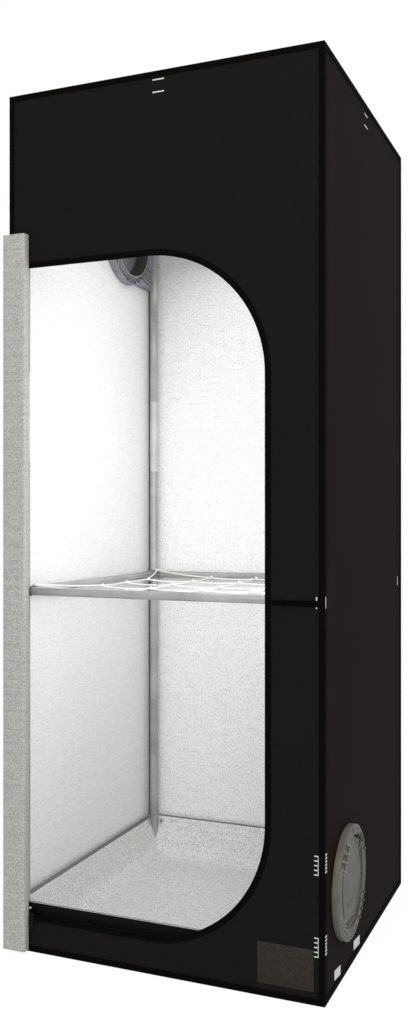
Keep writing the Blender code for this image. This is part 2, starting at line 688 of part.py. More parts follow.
def vent_matrix(side, y, z):
    """Local +Z points out through the wall and local +Y points up, from the cloth's outer face."""
    outward = Vector((side, 0, 0))
    up = Vector((0, 0, 1))
    across = up.cross(outward)
    turn = Matrix((across, up, outward)).transposed().to_4x4()
    return Matrix.Translation((side * SKIN_OUT_X, y, z)) @ turn


def sector(name, inner, outer, start, span, bottom, top, matrix):
    """A piece of a ring, between two angles in degrees."""
    steps = max(2, round(span / (360 / VENT_SIDES)))
    angles = [start + span * i / steps for i in range(steps + 1)]
    points = [polar(outer, a).xy for a in angles] + [polar(inner, a).xy for a in reversed(angles)]
    return outline(name, [[tuple(p) for p in points]], top - bottom,
                   matrix @ Matrix.Translation((0, 0, (top + bottom) / 2)))


def vent(name, side, y, z):
    matrix = vent_matrix(side, y, z)
    outward = (side, 0, 0)
    base = Vector((side * SKIN_OUT_X, y, z))
    cap_top = FLANGE_PROUD - CAP_RECESS
    cap_bottom = cap_top - CAP_THICK
    ledge_top = cap_bottom - GAP
    bore = CAP_RADIUS + CAP_CLEARANCE
    sleeve_in = SLEEVE_RADIUS - SLEEVE_WALL
    profile = [
        (FLANGE_RADIUS - FLANGE_ROUND, FLANGE_PROUD), (FLANGE_RADIUS, FLANGE_PROUD - FLANGE_ROUND),
        (FLANGE_RADIUS, GAP), (SLEEVE_RADIUS, GAP), (SLEEVE_RADIUS, -CLOTH - SLEEVE_REACH),
        (sleeve_in, -CLOTH - SLEEVE_REACH), (sleeve_in, ledge_top - LEDGE_THICK),
        (bore - LEDGE_WIDTH, ledge_top - LEDGE_THICK), (bore - LEDGE_WIDTH, ledge_top),
        (bore, ledge_top), (bore, FLANGE_PROUD),
    ]
    flange = turned(f"{name}_flange", profile, base, outward, VENT_NYLON, smooth=False)
    for start in pocket_starts():
        cut(flange, sector("pocket", bore - LEDGE_WIDTH / 2, bore + LUG_REACH + GAP, start, POCKET_SPAN_DEG,
                           cap_bottom - GAP / 2, FLANGE_PROUD + OVERRUN, matrix))
    for angle in BUMP_ANGLES_DEG:
        foot = matrix @ polar(FLANGE_RADIUS, angle, FLANGE_PROUD / 2)
        tip = matrix @ polar(FLANGE_RADIUS, angle, FLANGE_PROUD - FLANGE_ROUND)
        join(flange, rod("bump", BUMP_RADIUS, foot, tip, sides=LIMB_SIDES))
    vent_cap(name, matrix, base, outward, cap_bottom, cap_top)
    clamp_ring(name, matrix, base, outward)
    bracket(name, side, y, z)


def vent_cap(name, matrix, base, outward, bottom, top):
    """A dished disc with three lugs, a row of small holes and a tab to twist it by."""
    dish = top - CAP_DISH
    inner = CAP_RADIUS - CAP_RIM
    cap = rod(f"{name}_cap", CAP_RADIUS, matrix @ Vector((0, 0, bottom)), matrix @ Vector((0, 0, top)),
              VENT_NYLON, sides=VENT_SIDES, smooth=False)
    cut(cap, rod("cap_dish", inner, matrix @ Vector((0, 0, dish)), matrix @ Vector((0, 0, top + OVERRUN)),
                 sides=VENT_SIDES))
    for pocket in pocket_starts():
        lug = sector("lug", CAP_RADIUS - CAP_RIM / 2, CAP_RADIUS + LUG_REACH, pocket + LUG_OFFSET_DEG,
                     LUG_SPAN_DEG, bottom + GAP, top - GAP, matrix)
        join(cap, lug)
    for angle in HOLE_ANGLES_DEG:
        cut(cap, rod("cap_hole", HOLE_RADIUS, matrix @ polar(HOLE_ORBIT, angle, bottom - OVERRUN),
                     matrix @ polar(HOLE_ORBIT, angle, top + OVERRUN), sides=LIMB_SIDES))
    tab = box("cap_tab", (-TWIST_TAB_LENGTH / 2, -TWIST_TAB_WIDTH / 2, dish - GAP),
              (TWIST_TAB_LENGTH / 2, TWIST_TAB_WIDTH / 2, top))
    tab.matrix_world = matrix @ Matrix.Translation((0, -inner / 2, 0)) @ tab.matrix_world
    join(cap, tab)


def clamp_ring(name, matrix, base, outward):
    """The inner ring: two rims, and between them a web pierced by a zigzag of triangles."""
    front, back = -CLOTH - CLAMP_DEPTH, -CLOTH - GAP
    inner = SLEEVE_RADIUS + GAP
    profile = [
        (CLAMP_RADIUS, back), (CLAMP_RADIUS, front), (inner, front), (inner, back),
        (inner + CLAMP_WALL, back), (inner + CLAMP_WALL, front + CLAMP_WEB),
        (CLAMP_RADIUS - CLAMP_WALL, front + CLAMP_WEB), (CLAMP_RADIUS - CLAMP_WALL, back),
    ]
    ring = turned(f"{name}_clamp_ring", profile, base, outward, VENT_NYLON)
    low = inner + CLAMP_WALL + LATTICE_RIB / 2
    high = CLAMP_RADIUS - CLAMP_WALL - LATTICE_RIB / 2
    step = 360 / LATTICE_CELLS
    rib = math.degrees(LATTICE_RIB / high)
    holes = bmesh.new()
    for i in range(LATTICE_CELLS):
        for start, base_radius, tip_radius in ((i * step, low, high), ((i + 1 / 2) * step, high, low)):
            flat = [polar(base_radius, start + rib), polar(base_radius, start + step - rib),
                    polar(tip_radius, start + step / 2)]
            ends = [[holes.verts.new(p + Vector((0, 0, level))) for p in flat]
                    for level in (front - OVERRUN, front + CLAMP_WEB + (back - front - CLAMP_WEB) / 2)]
            holes.faces.new(ends[0][::-1])
            holes.faces.new(ends[1])
            for j in range(3):
                k = (j + 1) % 3
                holes.faces.new((ends[0][j], ends[0][k], ends[1][k], ends[1][j]))
    bmesh.ops.recalc_face_normals(holes, faces=holes.faces)
    return cut(ring, add(f"{name}_lattice", mesh_of(holes, "lattice"), None, matrix))


def bracket(name, side, y, z):
    """A ribbed plate that fills the corners between the clamp ring and the upright beside it."""
    pole_side = -1 if y < 0 else 1
    pole = frame_corner(side, pole_side, z)
    seat = POLE_RADIUS + GAP
    far = pole.y + pole_side * BRACKET_WRAP
    near = y + pole_side * CLAMP_RADIUS * BRACKET_START_SHARE
    deep, shallow = side * (SKIN_IN_X - CLAMP_DEPTH), side * (SKIN_IN_X - GAP)
    plate = box(f"{name}_bracket", (min(deep, shallow), min(near, far), z - BRACKET_HALF),
                (max(deep, shallow), max(near, far), z + BRACKET_HALF), VENT_NYLON)
    ring = rod("ring_seat", CLAMP_RADIUS + GAP, (side * (SKIN_IN_X - CLAMP_DEPTH - OVERRUN), y, z),
               (side * (SKIN_IN_X + OVERRUN), y, z), sides=VENT_SIDES)
    grip = rod("pole_seat", seat, pole - Vector((0, 0, BRACKET_HALF + OVERRUN)),
               pole + Vector((0, 0, BRACKET_HALF + OVERRUN)))
    cut(plate, ring, grip)
    room = abs(pole.y - y) - seat
    length, shorter, closer = SLOT_SHARES
    for level in (DOWN, UP):
        corner_y = y + pole_side * (room - BRACKET_EDGE)
        corner_z = z + level * (BRACKET_HALF - BRACKET_EDGE)
        for i in range(BRACKET_SLOTS):
            step = BRACKET_SLOT * 2 * i
            mouth = corner_z - level * step
            tip = (corner_y - pole_side * (room * length - step * shorter), corner_z - level * step * closer)
            points = [(corner_y, mouth), tip, (corner_y, mouth - level * BRACKET_SLOT)]
            cut(plate, outline("bracket_slot", [points], CLAMP_DEPTH, side_plane(deep)))
    return plate


def build_all():
    build_frame()
    build_cover()
    door_roll()
    zip_slider()
    spill_tray()
    build_ring()
    for end_name, y_side in ENDS.items():
        hanging_bar(f"hanging_bar_{end_name}", y_side * BAR_SPREAD / 2)
    for name, side, y, z in vent_places():
        vent(name, side, y, z)


build_all()
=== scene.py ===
import functools
import math

import bmesh
import bpy
from mathutils import Matrix, Vector, noise


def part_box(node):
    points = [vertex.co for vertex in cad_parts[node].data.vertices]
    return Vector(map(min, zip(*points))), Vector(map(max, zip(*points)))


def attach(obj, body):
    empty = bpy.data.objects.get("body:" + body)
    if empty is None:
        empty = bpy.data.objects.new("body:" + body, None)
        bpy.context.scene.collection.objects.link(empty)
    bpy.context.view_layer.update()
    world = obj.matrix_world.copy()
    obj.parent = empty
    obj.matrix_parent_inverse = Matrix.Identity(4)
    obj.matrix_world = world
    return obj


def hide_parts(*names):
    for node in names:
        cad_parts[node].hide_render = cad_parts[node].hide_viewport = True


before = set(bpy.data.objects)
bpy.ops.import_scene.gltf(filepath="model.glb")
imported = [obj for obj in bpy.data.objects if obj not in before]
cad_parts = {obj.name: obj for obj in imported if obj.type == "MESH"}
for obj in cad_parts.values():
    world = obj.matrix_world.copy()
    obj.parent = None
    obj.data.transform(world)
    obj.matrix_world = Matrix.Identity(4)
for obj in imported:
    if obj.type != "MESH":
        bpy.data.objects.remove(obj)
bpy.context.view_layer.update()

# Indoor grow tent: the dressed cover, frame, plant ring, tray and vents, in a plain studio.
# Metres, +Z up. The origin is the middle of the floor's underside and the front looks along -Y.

# Cover
HALF_WIDTH = 0.300
SKIN = 0.2985
CLOTH = 0.0015
TAPE_BAND = 0.0105
TAPE_THICK = 0.0012
TAPE_ROUNDING = 0.0016
CELL = 0.020
BILLOW = 0.0011
BILLOW_REACH = 0.070

# Grey strips on the inner side of the upright seams: painted shade in the corners
CORNER_SHADE_WIDTH = 0.0095
CORNER_SHADE_THICK = 0.0008
CORNER_SHADE_BOTTOM = 0.040
CORNER_SHADE_TOP = 1.510

# Door opening and its zip
DOOR_LEFT = -0.268
DOOR_RIGHT = 0.197
DOOR_BOTTOM = 0.067
DOOR_TOP = 1.246
DOOR_CORNER = 0.215
DOOR_STEPS = 32
ZIP_BAND = 0.0105
ZIP_LEFT = -0.263
ZIP_BACK = -0.2988
TEETH_OUT = 0.0016
TEETH_RADIUS = 0.0008

# Webbing strap
STRAP_THICK = 0.0009
STRAP_CELL = 0.0016
STRAP_CRUMPLE = 0.0016
STRAP_SEWN_ENDS = 0.006

# Rolled door
ROLL_PITCH = 0.00145
ROLL_PLY = 0.0010
ROLL_HALF_TURNS = 11
ROLL_BEND_STEPS = 10
ROLL_FLAT_STEPS = 5
ROLL_ROWS = 90
ROLL_PRESSED_SHARE = 0.3
ROLL_RAGGED = 0.0030
ROLL_DRAWN_IN = 0.0012
ROLL_UNEVEN = 0.010
ROLL_CREASED = 0.005

# Tray, as distances from the middle, and heights, along its underside
TRAY_SECTION = ((0.0, 0.0018), (0.235, 0.0018), (0.250, 0.006), (0.268, 0.022), (0.2905, 0.0865))
TRAY_CELLS = 76
TRAY_LOOSE = 0.20
SLIT_GAP = 0.0008
# How far the strips of painted shadow along the tray's edges reach and rise
GAP_SHADOW_END = 0.270
GAP_SHADOW_RISE = 0.0016
EYELET_AT = 0.2637
EYELET_DROP = 0.0135
EYELET_BORE = 0.0029

# Frame
POLE_AT = 0.279
POLE_RADIUS = 0.0095
TUBE_SIDES = 40
TUBE_WALL = 0.0010
RIM_SOFTENING = 0.0003
SLEEVE_REACH = 0.040
SLEEVE_GAP = 0.0003

# Plant ring and net
RING_AT = 0.655
NET_STEP = 0.105
NET_LINES = (-2, -1, 0, 1, 2)
NET_SAG = 0.004
STRAND_SAG = 0.0022
STRAND_LIFT = 0.0011
STRAND_STEPS = 10
CORD_RADIUS = 0.0015
KNOT_RADIUS = 0.0020
KNOT_CORD = 0.00165
KNOT_STEPS = 27
PEG_AT = 0.2656
LOOP_AT = 0.6658
LOOP_RADIUS = 0.0040
LOOP_STEPS = 24

# Vents, from the vent's axis and the cloth's outer face
VENT_Y = -0.160
VENT_Z = 0.158
VENT_RISE = 1.253
VENT_CLEAR = 0.10
SLEEVE_HOLE = 0.0833
SLEEVE_LIP = 0.0775
TURN_STEPS = 120
# Where the cutters end, clear of the vent's face
CUT_TOP = 0.02
# The rungs of the ratchet ladder: middle and half length, in a frame turned by the ladder's climb
RUNG_CLIMB = Matrix.Rotation(math.radians(-22), 4, "Z")
RUNGS = ((-0.0360, 0.0569, 0.0135), (-0.0469, 0.0426, 0.0145),
         (-0.0532, 0.0274, 0.0155), (-0.0571, 0.0130, 0.0160))
RUNG_HALF = 0.0016
WELL_HALF = 0.0050
# The grooves of the bracket
GROOVE_HALF = 0.0018
GROOVE_DEEP = 0.004
GROOVE_STEP = 0.0085
# The inner ring's zigzag of ribs
RIB_PAIRS = 30
RIB_NEAR = 0.0853
RIB_FAR = 0.0960
RIB_LEVEL = -0.0182

# White stitches and tabs
THREAD_PROUD = 0.0007
DASH_HALF = 0.0011


# Workbench

def linear(code):
    """An sRGB hex value as linear red, green, blue and alpha."""
    parts = [int(code[i:i + 2], 16) / 255 for i in (0, 2, 4)]
    return [c / 12.92 if c <= 0.04045 else ((c + 0.055) / 1.055) ** 2.4 for c in parts] + [1.0]


def clear_bench():
    """Leave edit mode and deselect all, so that an operator acts only on what comes next."""
    if bpy.context.object and bpy.context.object.mode != "OBJECT":
        bpy.ops.object.mode_set(mode="OBJECT")
    bpy.ops.object.select_all(action="DESELECT")


def pick_up(piece):
    clear_bench()
    piece.select_set(True)
    bpy.context.view_layer.objects.active = piece


def set_down(name, turn=None):
    """Name the piece on the bench and put its place, turn and scale into its mesh."""
    piece = bpy.context.object
    if piece.mode != "OBJECT":
        bpy.ops.object.mode_set(mode="OBJECT")
    if turn is not None:
        piece.matrix_world = turn @ piece.matrix_world
    bpy.ops.object.transform_apply(location=True, rotation=True, scale=True)
    piece.name = piece.data.name = name
    return piece


def choose(kind, test):
    """In edit mode, select only the points, edges or faces that pass a test."""
    mesh = bpy.context.object.data
    bpy.ops.mesh.select_mode(type=kind)
    bpy.ops.mesh.select_all(action="DESELECT")
    shape = bmesh.from_edit_mesh(mesh)
    for item in {"VERT": shape.verts, "EDGE": shape.edges, "FACE": shape.faces}[kind]:
        if test(item):
            item.select_set(True)
    shape.select_flush_mode()
    bmesh.update_edit_mesh(mesh)


def work_on(piece):
    pick_up(piece)
    bpy.ops.object.mode_set(mode="EDIT")


def start_point(place):
    """One point on the bench, in edit mode, ready to be extruded."""
    clear_bench()
    bpy.ops.mesh.primitive_plane_add(size=0.001)
    bpy.ops.object.mode_set(mode="EDIT")
    bpy.ops.mesh.select_mode(type="VERT")
    bpy.ops.mesh.select_all(action="SELECT")
    bpy.ops.mesh.merge(type="CENTER")
    bpy.ops.transform.translate(value=place)


def weld(gap):
    """In edit mode, select all, and make points that lie together one."""
    bpy.ops.mesh.select_all(action="SELECT")
    bpy.ops.mesh.remove_doubles(threshold=gap)


def spin_round(steps, angle, gap):
    """In edit mode, spin the welded selection round Z, and turn the faces outward."""
    weld(gap)
    bpy.ops.mesh.spin(steps=steps, angle=angle, center=(0, 0, 0), axis=(0, 0, 1))
    weld(gap)
    bpy.ops.mesh.normals_make_consistent(inside=False)


def modify(piece, kind, **settings):
    """Add a modifier and apply it."""
    pick_up(piece)
    step = piece.modifiers.new("step", kind)
    for name, value in settings.items():
        setattr(step, name, value)
    bpy.ops.object.modifier_apply(modifier=step.name)


def soften(piece, width, segments=2, angle=32):
    """Bevel the edges that are sharper than an angle."""
    modify(piece, "BEVEL", width=width, segments=segments, limit_method="ANGLE",
           angle_limit=math.radians(angle))


def carve(piece, cutter, operation="DIFFERENCE"):
    """Cut one closed shape by another, which is used up."""
    modify(piece, "BOOLEAN", object=cutter, operation=operation, solver="EXACT")
    bpy.data.objects.remove(cutter)


def merge(name, pieces):
    """Make several pieces one."""
    clear_bench()
    for piece in pieces:
        piece.select_set(True)
    bpy.context.view_layer.objects.active = pieces[0]
    bpy.ops.object.join()
    return set_down(name)


def smooth(piece, angle=34):
    pick_up(piece)
    bpy.ops.object.shade_smooth_by_angle(angle=math.radians(angle))


def block(name, low, high, softening=0.0, turn=None, segments=2):
    """A bevelled block between two corners."""
    clear_bench()
    low, high = Vector(low), Vector(high)
    bpy.ops.mesh.primitive_cube_add(size=1, location=(low + high) / 2)
    bpy.context.object.scale = high - low
    piece = set_down(name)
    if softening:
        soften(piece, softening, segments)
    if turn is not None:
        pick_up(piece)
        set_down(name, turn)
    return piece


def rod(name, radius, start, end, sides=24, softening=0.0, ends="NGON", turn=None):
    """A round bar from one point to another."""
    clear_bench()
    start, end = Vector(start), Vector(end)
    way = end - start
    bpy.ops.mesh.primitive_cylinder_add(vertices=sides, radius=radius, depth=way.length,
                                        location=(start + end) / 2, end_fill_type=ends,
                                        rotation=way.to_track_quat("Z", "Y").to_euler())
    piece = set_down(name)
    if softening:
        soften(piece, softening)
    if turn is not None:
        pick_up(piece)
        set_down(name, turn)
    return piece


def turned(name, profile, turn=None, steps=TURN_STEPS, closed=True):
    """Spin a profile of radius and height pairs round Z."""
    start_point((profile[0][0], 0, profile[0][1]))
    ways = list(zip(profile, profile[1:] + (profile[:1] if closed else [])))
    for (radius, height), (next_radius, next_height) in ways:
        bpy.ops.mesh.extrude_vertices_move(
            TRANSFORM_OT_translate={"value": (next_radius - radius, 0, next_height - height)})
    spin_round(steps, math.tau, 1e-6)
    return set_down(name, turn)


def copy_of(piece, name, turn):
    """A copy with its own mesh, moved by a matrix."""
    twin = piece.copy()
    twin.data = piece.data.copy()
    bpy.context.scene.collection.objects.link(twin)
    pick_up(twin)
    return set_down(name, turn)


def cord_along(name, points, radius, closed=False):
    """A round cord of eight sides through points, made from a curve."""
    clear_bench()
    line = bpy.data.curves.new(name, "CURVE")
    line.dimensions = "3D"
    line.bevel_depth = radius
    line.bevel_resolution = 2
    line.use_fill_caps = not closed
    run = line.splines.new("POLY")
    run.points.add(len(points) - 1)
    for point, place in zip(run.points, points):
        point.co = (*place, 1.0)
    run.use_cyclic_u = closed
    piece = bpy.data.objects.new(name, line)
    bpy.context.scene.collection.objects.link(piece)
    pick_up(piece)
    bpy.ops.object.convert(target="MESH")
    return set_down(name)


def coat(piece, *finishes, choice=None):
    """Give a piece its finishes, the first all over, or each face the one that its middle calls for."""
    piece.data.materials.clear()
    for finish in finishes:
        piece.data.materials.append(finish)
    if choice:
        for face in piece.data.polygons:
            face.material_index = finishes.index(choice(face.center))


def hand_over(piece, body, finish=None, nodes=()):
    """Give a finished piece its material and its body, and hide the CAD nodes that it stands for."""
    if finish:
        coat(piece, finish)
    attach(piece, body)
    if nodes:
        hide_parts(*nodes)


# Finishes

def node(tree, kind, inputs=None, stops=(), **settings):
    """Add a node with its settings, and give each input its number, socket or node."""
    made = tree.nodes.new(kind)
    for name, value in settings.items():
        setattr(made, name, value)
    for name, value in (inputs or {}).items():
        if isinstance(value, bpy.types.Node):
            value = value.outputs[0]
        if isinstance(value, bpy.types.NodeSocket):
            tree.links.new(value, made.inputs[name])
        else:
            made.inputs[name].default_value = value
    for i, (position, code) in enumerate(stops):
        elements = made.color_ramp.elements
        element = elements[i] if i < 2 else elements.new(position)
        element.position, element.color = position, linear(code)
    return made


def new_finish(name):
    """An empty material, and the function that adds nodes to it."""
    material = bpy.data.materials.new(name)
    material.use_nodes = True
    material.node_tree.nodes.clear()
    return material, functools.partial(node, material.node_tree)


def finished(add, colour, height, bump_depth, bump_strength, **surface):
    """End a finish with its bump and its surface, whose constants are set on the shader itself."""
    normal = add("ShaderNodeBump", {"Height": height, "Distance": bump_depth, "Strength": bump_strength})
    inputs = {name.replace("_", " "): value for name, value in surface.items()}
    shader = add("ShaderNodeBsdfPrincipled", {"Base Color": colour, "Normal": normal, **inputs})
    add("ShaderNodeOutputMaterial", {"Surface": shader})


def bands(pitch):
    """The Wave texture's scale at which diagonal bands lie this far apart along each axis."""
    return math.tau / 10 / pitch


def oxford(name, dark, light):
    """Polyester oxford with a matt PU coat: black, with a fine twill and slight cloudiness."""
    material, add = new_finish(name)
    flat = add("ShaderNodeUVMap")
    # Threads are 0.35 mm apart, too fine to show, so the twill is drawn at 3.2 mm
    twill = add("ShaderNodeTexWave", {"Vector": flat, "Scale": bands(0.0032), "Distortion": 0.6,
                                      "Detail": 1.0, "Detail Scale": 2.0}, bands_direction="DIAGONAL")
    cloud = add("ShaderNodeTexNoise", {"Vector": flat, "Scale": 7.0, "Detail": 5.0})
    slub = add("ShaderNodeTexNoise", {"Vector": flat, "Scale": 240.0, "Detail": 2.0})
    weave = add("ShaderNodeMath", {0: twill, 1: 0.35, 2: slub}, operation="MULTIPLY_ADD")
    tone = add("ShaderNodeMath", {0: cloud, 1: 0.35, 2: weave}, operation="MULTIPLY_ADD")
    colour = add("ShaderNodeValToRGB", {"Fac": tone}, ((0.62, dark), (1.12, light)))
    finished(add, colour, weave, 0.00025, 0.5, Roughness=0.85, Specular_IOR_Level=0.04)
    return material


def silver_film(name, fleck, dark, mid, light, grain, roughness=0.42):
    """Cloth laminated with an embossed white and silver film: bright, pebbled and softly glossy."""
    material, add = new_finish(name)
    flat = add("ShaderNodeUVMap")
    # Pebbles of the embossing are 3 to 4 mm across, and finer creases cross them
    pebble = add("ShaderNodeTexNoise", {"Vector": flat, "Scale": grain, "Detail": 2.5,
                                        "Roughness": 0.62})
    blotch = add("ShaderNodeTexNoise", {"Vector": flat, "Scale": grain / 6, "Detail": 3.0,
                                        "Roughness": 0.7})
    height = add("ShaderNodeMath", {0: blotch, 1: 0.22, 2: pebble}, operation="MULTIPLY_ADD")
    # The embossing roller leaves faint rows 15 mm apart
    row = add("ShaderNodeTexWave", {"Vector": flat, "Scale": bands(0.015) / 2, "Distortion": 1.5,
                                    "Detail": 1.0, "Detail Scale": 9.0}, bands_direction="Y")
    height = add("ShaderNodeMath", {0: row, 1: 0.030, 2: height}, operation="MULTIPLY_ADD")
    colour = add("ShaderNodeValToRGB", {"Fac": height},
                 ((0.42, fleck), (0.54, dark), (0.63, mid), (0.76, light)))
    finished(add, colour, height, 0.0008, 0.5, Roughness=roughness, Specular_IOR_Level=0.35)
    return material


def grosgrain(name, dark, light):
    """Woven polyester tape: nearly black, ribbed across its run."""
    material, add = new_finish(name)
    place = add("ShaderNodeTexCoord").outputs["Object"]
    # Ribs are 0.8 mm apart, too fine to show, so they are drawn at 2.4 mm; diagonal bands cross every run
    # that follows an axis
    rib = add("ShaderNodeTexWave", {"Vector": place, "Scale": bands(0.0024), "Distortion": 0.4},
              bands_direction="DIAGONAL")
    grain = add("ShaderNodeTexNoise", {"Vector": place, "Scale": 260.0, "Detail": 3.0})
    tone = add("ShaderNodeMath", {0: rib, 1: 0.3, 2: grain}, operation="MULTIPLY_ADD")
    colour = add("ShaderNodeValToRGB", {"Fac": tone}, ((0.42, dark), (0.9, light)))
    finished(add, colour, tone, 0.0004, 0.6, Roughness=0.85, Specular_IOR_Level=0.02)
    return material


def coated_steel(name, dark, light, roughness=0.28):
    """Cold-rolled steel tube with a thin grey-green powder coat: satin, faintly pebbled."""
    material, add = new_finish(name)
    place = add("ShaderNodeTexCoord").outputs["Object"]
    # Orange peel of the coat, about 1.5 mm, and slow changes of tone along the tube
    peel = add("ShaderNodeTexNoise", {"Vector": place, "Scale": 700.0, "Detail": 2.0})
    drift = add("ShaderNodeTexNoise", {"Vector": place, "Scale": 14.0, "Detail": 3.0})
    tone = add("ShaderNodeMath", {0: peel, 1: 0.5, 2: drift}, operation="MULTIPLY_ADD")
    colour = add("ShaderNodeValToRGB", {"Fac": tone}, ((0.55, dark), (0.95, light)))
    finished(add, colour, peel, 0.0002, 0.25, Roughness=roughness, Coat_Weight=0.6, Coat_Roughness=0.08)
    return material


def moulded_nylon(name, dark, light, hatched=0.0):
    """Injection-moulded nylon: satin, finely spark-eroded, a little uneven in tone."""
    material, add = new_finish(name)
    place = add("ShaderNodeTexCoord").outputs["Object"]
    # Mould grain of about 1 mm, and the slow streaks of the melt
    grain = add("ShaderNodeTexNoise", {"Vector": place, "Scale": 900.0, "Detail": 2.0})
    flow = add("ShaderNodeTexNoise", {"Vector": place, "Scale": 30.0, "Detail": 4.0})
    tone = add("ShaderNodeMath", {0: grain, 1: 0.45, 2: flow}, operation="MULTIPLY_ADD")
    height = grain
    if hatched:
        # Ribs of the disc, 7 mm apart, climbing 20 degrees towards the back. Their tone changes with them:
        # painted light and shade across the ribs, besides their bump
        tilted = add("ShaderNodeMapping", {"Vector": place, "Rotation": (math.radians(-20), 0, 0)})
        rib = add("ShaderNodeTexWave", {"Vector": tilted, "Scale": bands(0.007) / 2}, bands_direction="Z")
        tone = add("ShaderNodeMath", {0: rib, 1: hatched, 2: tone}, operation="MULTIPLY_ADD")
        height = add("ShaderNodeMath", {0: rib, 1: 3.0, 2: grain}, operation="MULTIPLY_ADD")
    colour = add("ShaderNodeValToRGB", {"Fac": tone}, ((0.52, dark), (0.98 + hatched, light)))
    finished(add, colour, height, 0.00015, 0.5, Roughness=0.5, Specular_IOR_Level=0.2)
    return material


def braided_cord(name, dark, light):
    """Braided polyester cord: white, with a slanting braid."""
    material, add = new_finish(name)
    place = add("ShaderNodeTexCoord").outputs["Object"]
    # The braid crosses every 2 mm
    braid = add("ShaderNodeTexWave", {"Vector": place, "Scale": bands(0.002), "Distortion": 0.5},
                bands_direction="DIAGONAL")
    fuzz = add("ShaderNodeTexNoise", {"Vector": place, "Scale": 1500.0, "Detail": 1.0})
    tone = add("ShaderNodeMath", {0: fuzz, 1: 0.4, 2: braid}, operation="MULTIPLY_ADD")
    colour = add("ShaderNodeValToRGB", {"Fac": tone}, ((0.2, dark), (0.9, light)))
    finished(add, colour, tone, 0.0003, 0.5, Roughness=0.6, Specular_IOR_Level=0.3)
    return material


def lacquered_zinc(name, dark, light):
    """Die-cast zinc under dark lacquer: satin, a little uneven where it is handled."""
    material, add = new_finish(name)
    place = add("ShaderNodeTexCoord").outputs["Object"]
    grain = add("ShaderNodeTexNoise", {"Vector": place, "Scale": 500.0, "Detail": 4.0})
    colour = add("ShaderNodeValToRGB", {"Fac": grain}, ((0.4, dark), (0.72, light)))
    finished(add, colour, grain, 0.0001, 0.4, Roughness=0.5, Metallic=0.85)
    return material


def label_cloth(name, dark, light):
    """Satin-woven cloth: brown grey, faintly lined."""
    material, add = new_finish(name)
    place = add("ShaderNodeTexCoord").outputs["Object"]
    # Satin floats are 0.5 mm apart, too fine to show, so they are drawn at 2 mm
    line = add("ShaderNodeTexWave", {"Vector": place, "Scale": bands(0.002) / 2, "Distortion": 0.8},
               bands_direction="Z")
    grain = add("ShaderNodeTexNoise", {"Vector": place, "Scale": 180.0, "Detail": 4.0})
    tone = add("ShaderNodeMath", {0: line, 1: 0.25, 2: grain}, operation="MULTIPLY_ADD")
    colour = add("ShaderNodeValToRGB", {"Fac": tone}, ((0.4, dark), (0.85, light)))
    finished(add, colour, tone, 0.0002, 0.5, Roughness=0.6, Specular_IOR_Level=0.08)
    return material


def thread(name, dark, light):
    """Twisted polyester sewing thread, or tape woven from it: white, softly fuzzed."""
    material, add = new_finish(name)
    place = add("ShaderNodeTexCoord").outputs["Object"]
    grain = add("ShaderNodeTexNoise", {"Vector": place, "Scale": 900.0, "Detail": 2.0})
    colour = add("ShaderNodeValToRGB", {"Fac": grain}, ((0.35, dark), (0.65, light)))
    finished(add, colour, grain, 0.0002, 0.5, Roughness=0.6, Specular_IOR_Level=0.3)
    return material


OXFORD_FRONT = oxford("pu_coated_oxford_front", "131210", "181715")
# The side panels get a copy of the same oxford, browner and a little darker: painted warm light and
# painted shade
OXFORD_SIDE_PAINTED_LIGHT = oxford("pu_coated_oxford_side_painted_light", "0f0b08", "140f0c")
FILM_WALL = silver_film("embossed_silver_film_wall", "b4b4b2", "dbdbda", "e7e7e6", "eeeeed", 290.0)
FILM_SIDE = silver_film("embossed_silver_film_side", "c8c8c6", "dddddc", "e6e6e5", "ebebea", 290.0)
FILM_TRAY = silver_film("embossed_silver_film_tray", "8a8988", "b9b9b7", "cfcfcd", "ececea", 360.0)
# The rolled door gets a darker, rougher copy of the wall's film; its darker tone is painted shade
FILM_ROLL_PAINTED_SHADE = silver_film("embossed_silver_film_roll_painted_shade", "7e7d7a", "94938f", "a09f9b", "b7b6b2", 330.0, 0.6)
BINDING = grosgrain("grosgrain_binding", "060505", "0b0a08")
ZIP_TAPE = grosgrain("woven_zip_tape", "060606", "0b0a09")
WEBBING = grosgrain("polyester_webbing", "020202", "0b0a09")
STEEL = coated_steel("powder_coated_steel", "878a85", "a1a49f", 0.12)
STEEL_SLEEVE = coated_steel("powder_coated_steel_sleeve", "a6a9a4", "bfc1bc")
NYLON = moulded_nylon("black_moulded_nylon", "1d1e1d", "2d2e2c")
CLIP_NYLON = moulded_nylon("grey_moulded_nylon_clip", "6c6d6d", "808181")
VENT_NYLON = moulded_nylon("grey_moulded_nylon", "43413c", "54524c")
# The disc's ribs are painted lighter and darker: painted light and shade across them
VENT_DISC = moulded_nylon("grey_moulded_nylon_disc", "3f3d38", "54524b", hatched=0.15)
# The vent's inner parts get a paler, bluer copy of its nylon: painted light of the bright interior
VENT_INNER_PAINTED_LIGHT = moulded_nylon("grey_moulded_nylon_inner_painted_light", "7e7e84", "95959b")
# The outer rim's side is painted paler: painted light
VENT_RIM_PAINTED_LIGHT = moulded_nylon("grey_moulded_nylon_rim_painted_light", "56534d", "6a6760")
# The sleeve's bore is painted darker: painted shade
VENT_BORE_PAINTED_SHADE = moulded_nylon("grey_moulded_nylon_bore_painted_shade", "4a4a47", "565653")
# The rungs' tops are painted paler: painted highlight
VENT_RUNG_PAINTED_LIGHT = moulded_nylon("grey_moulded_nylon_painted_highlight", "5c5a53", "75726a")
# The wells between the rungs are painted darker: painted shade
VENT_WELL_PAINTED_SHADE = moulded_nylon("grey_moulded_nylon_painted_shade", "4d4a45", "65625a")
CORD = braided_cord("braided_white_cord", "cfcfcd", "f2f2f1")
ZINC = lacquered_zinc("lacquered_zinc", "0d0c0c", "2b2927")
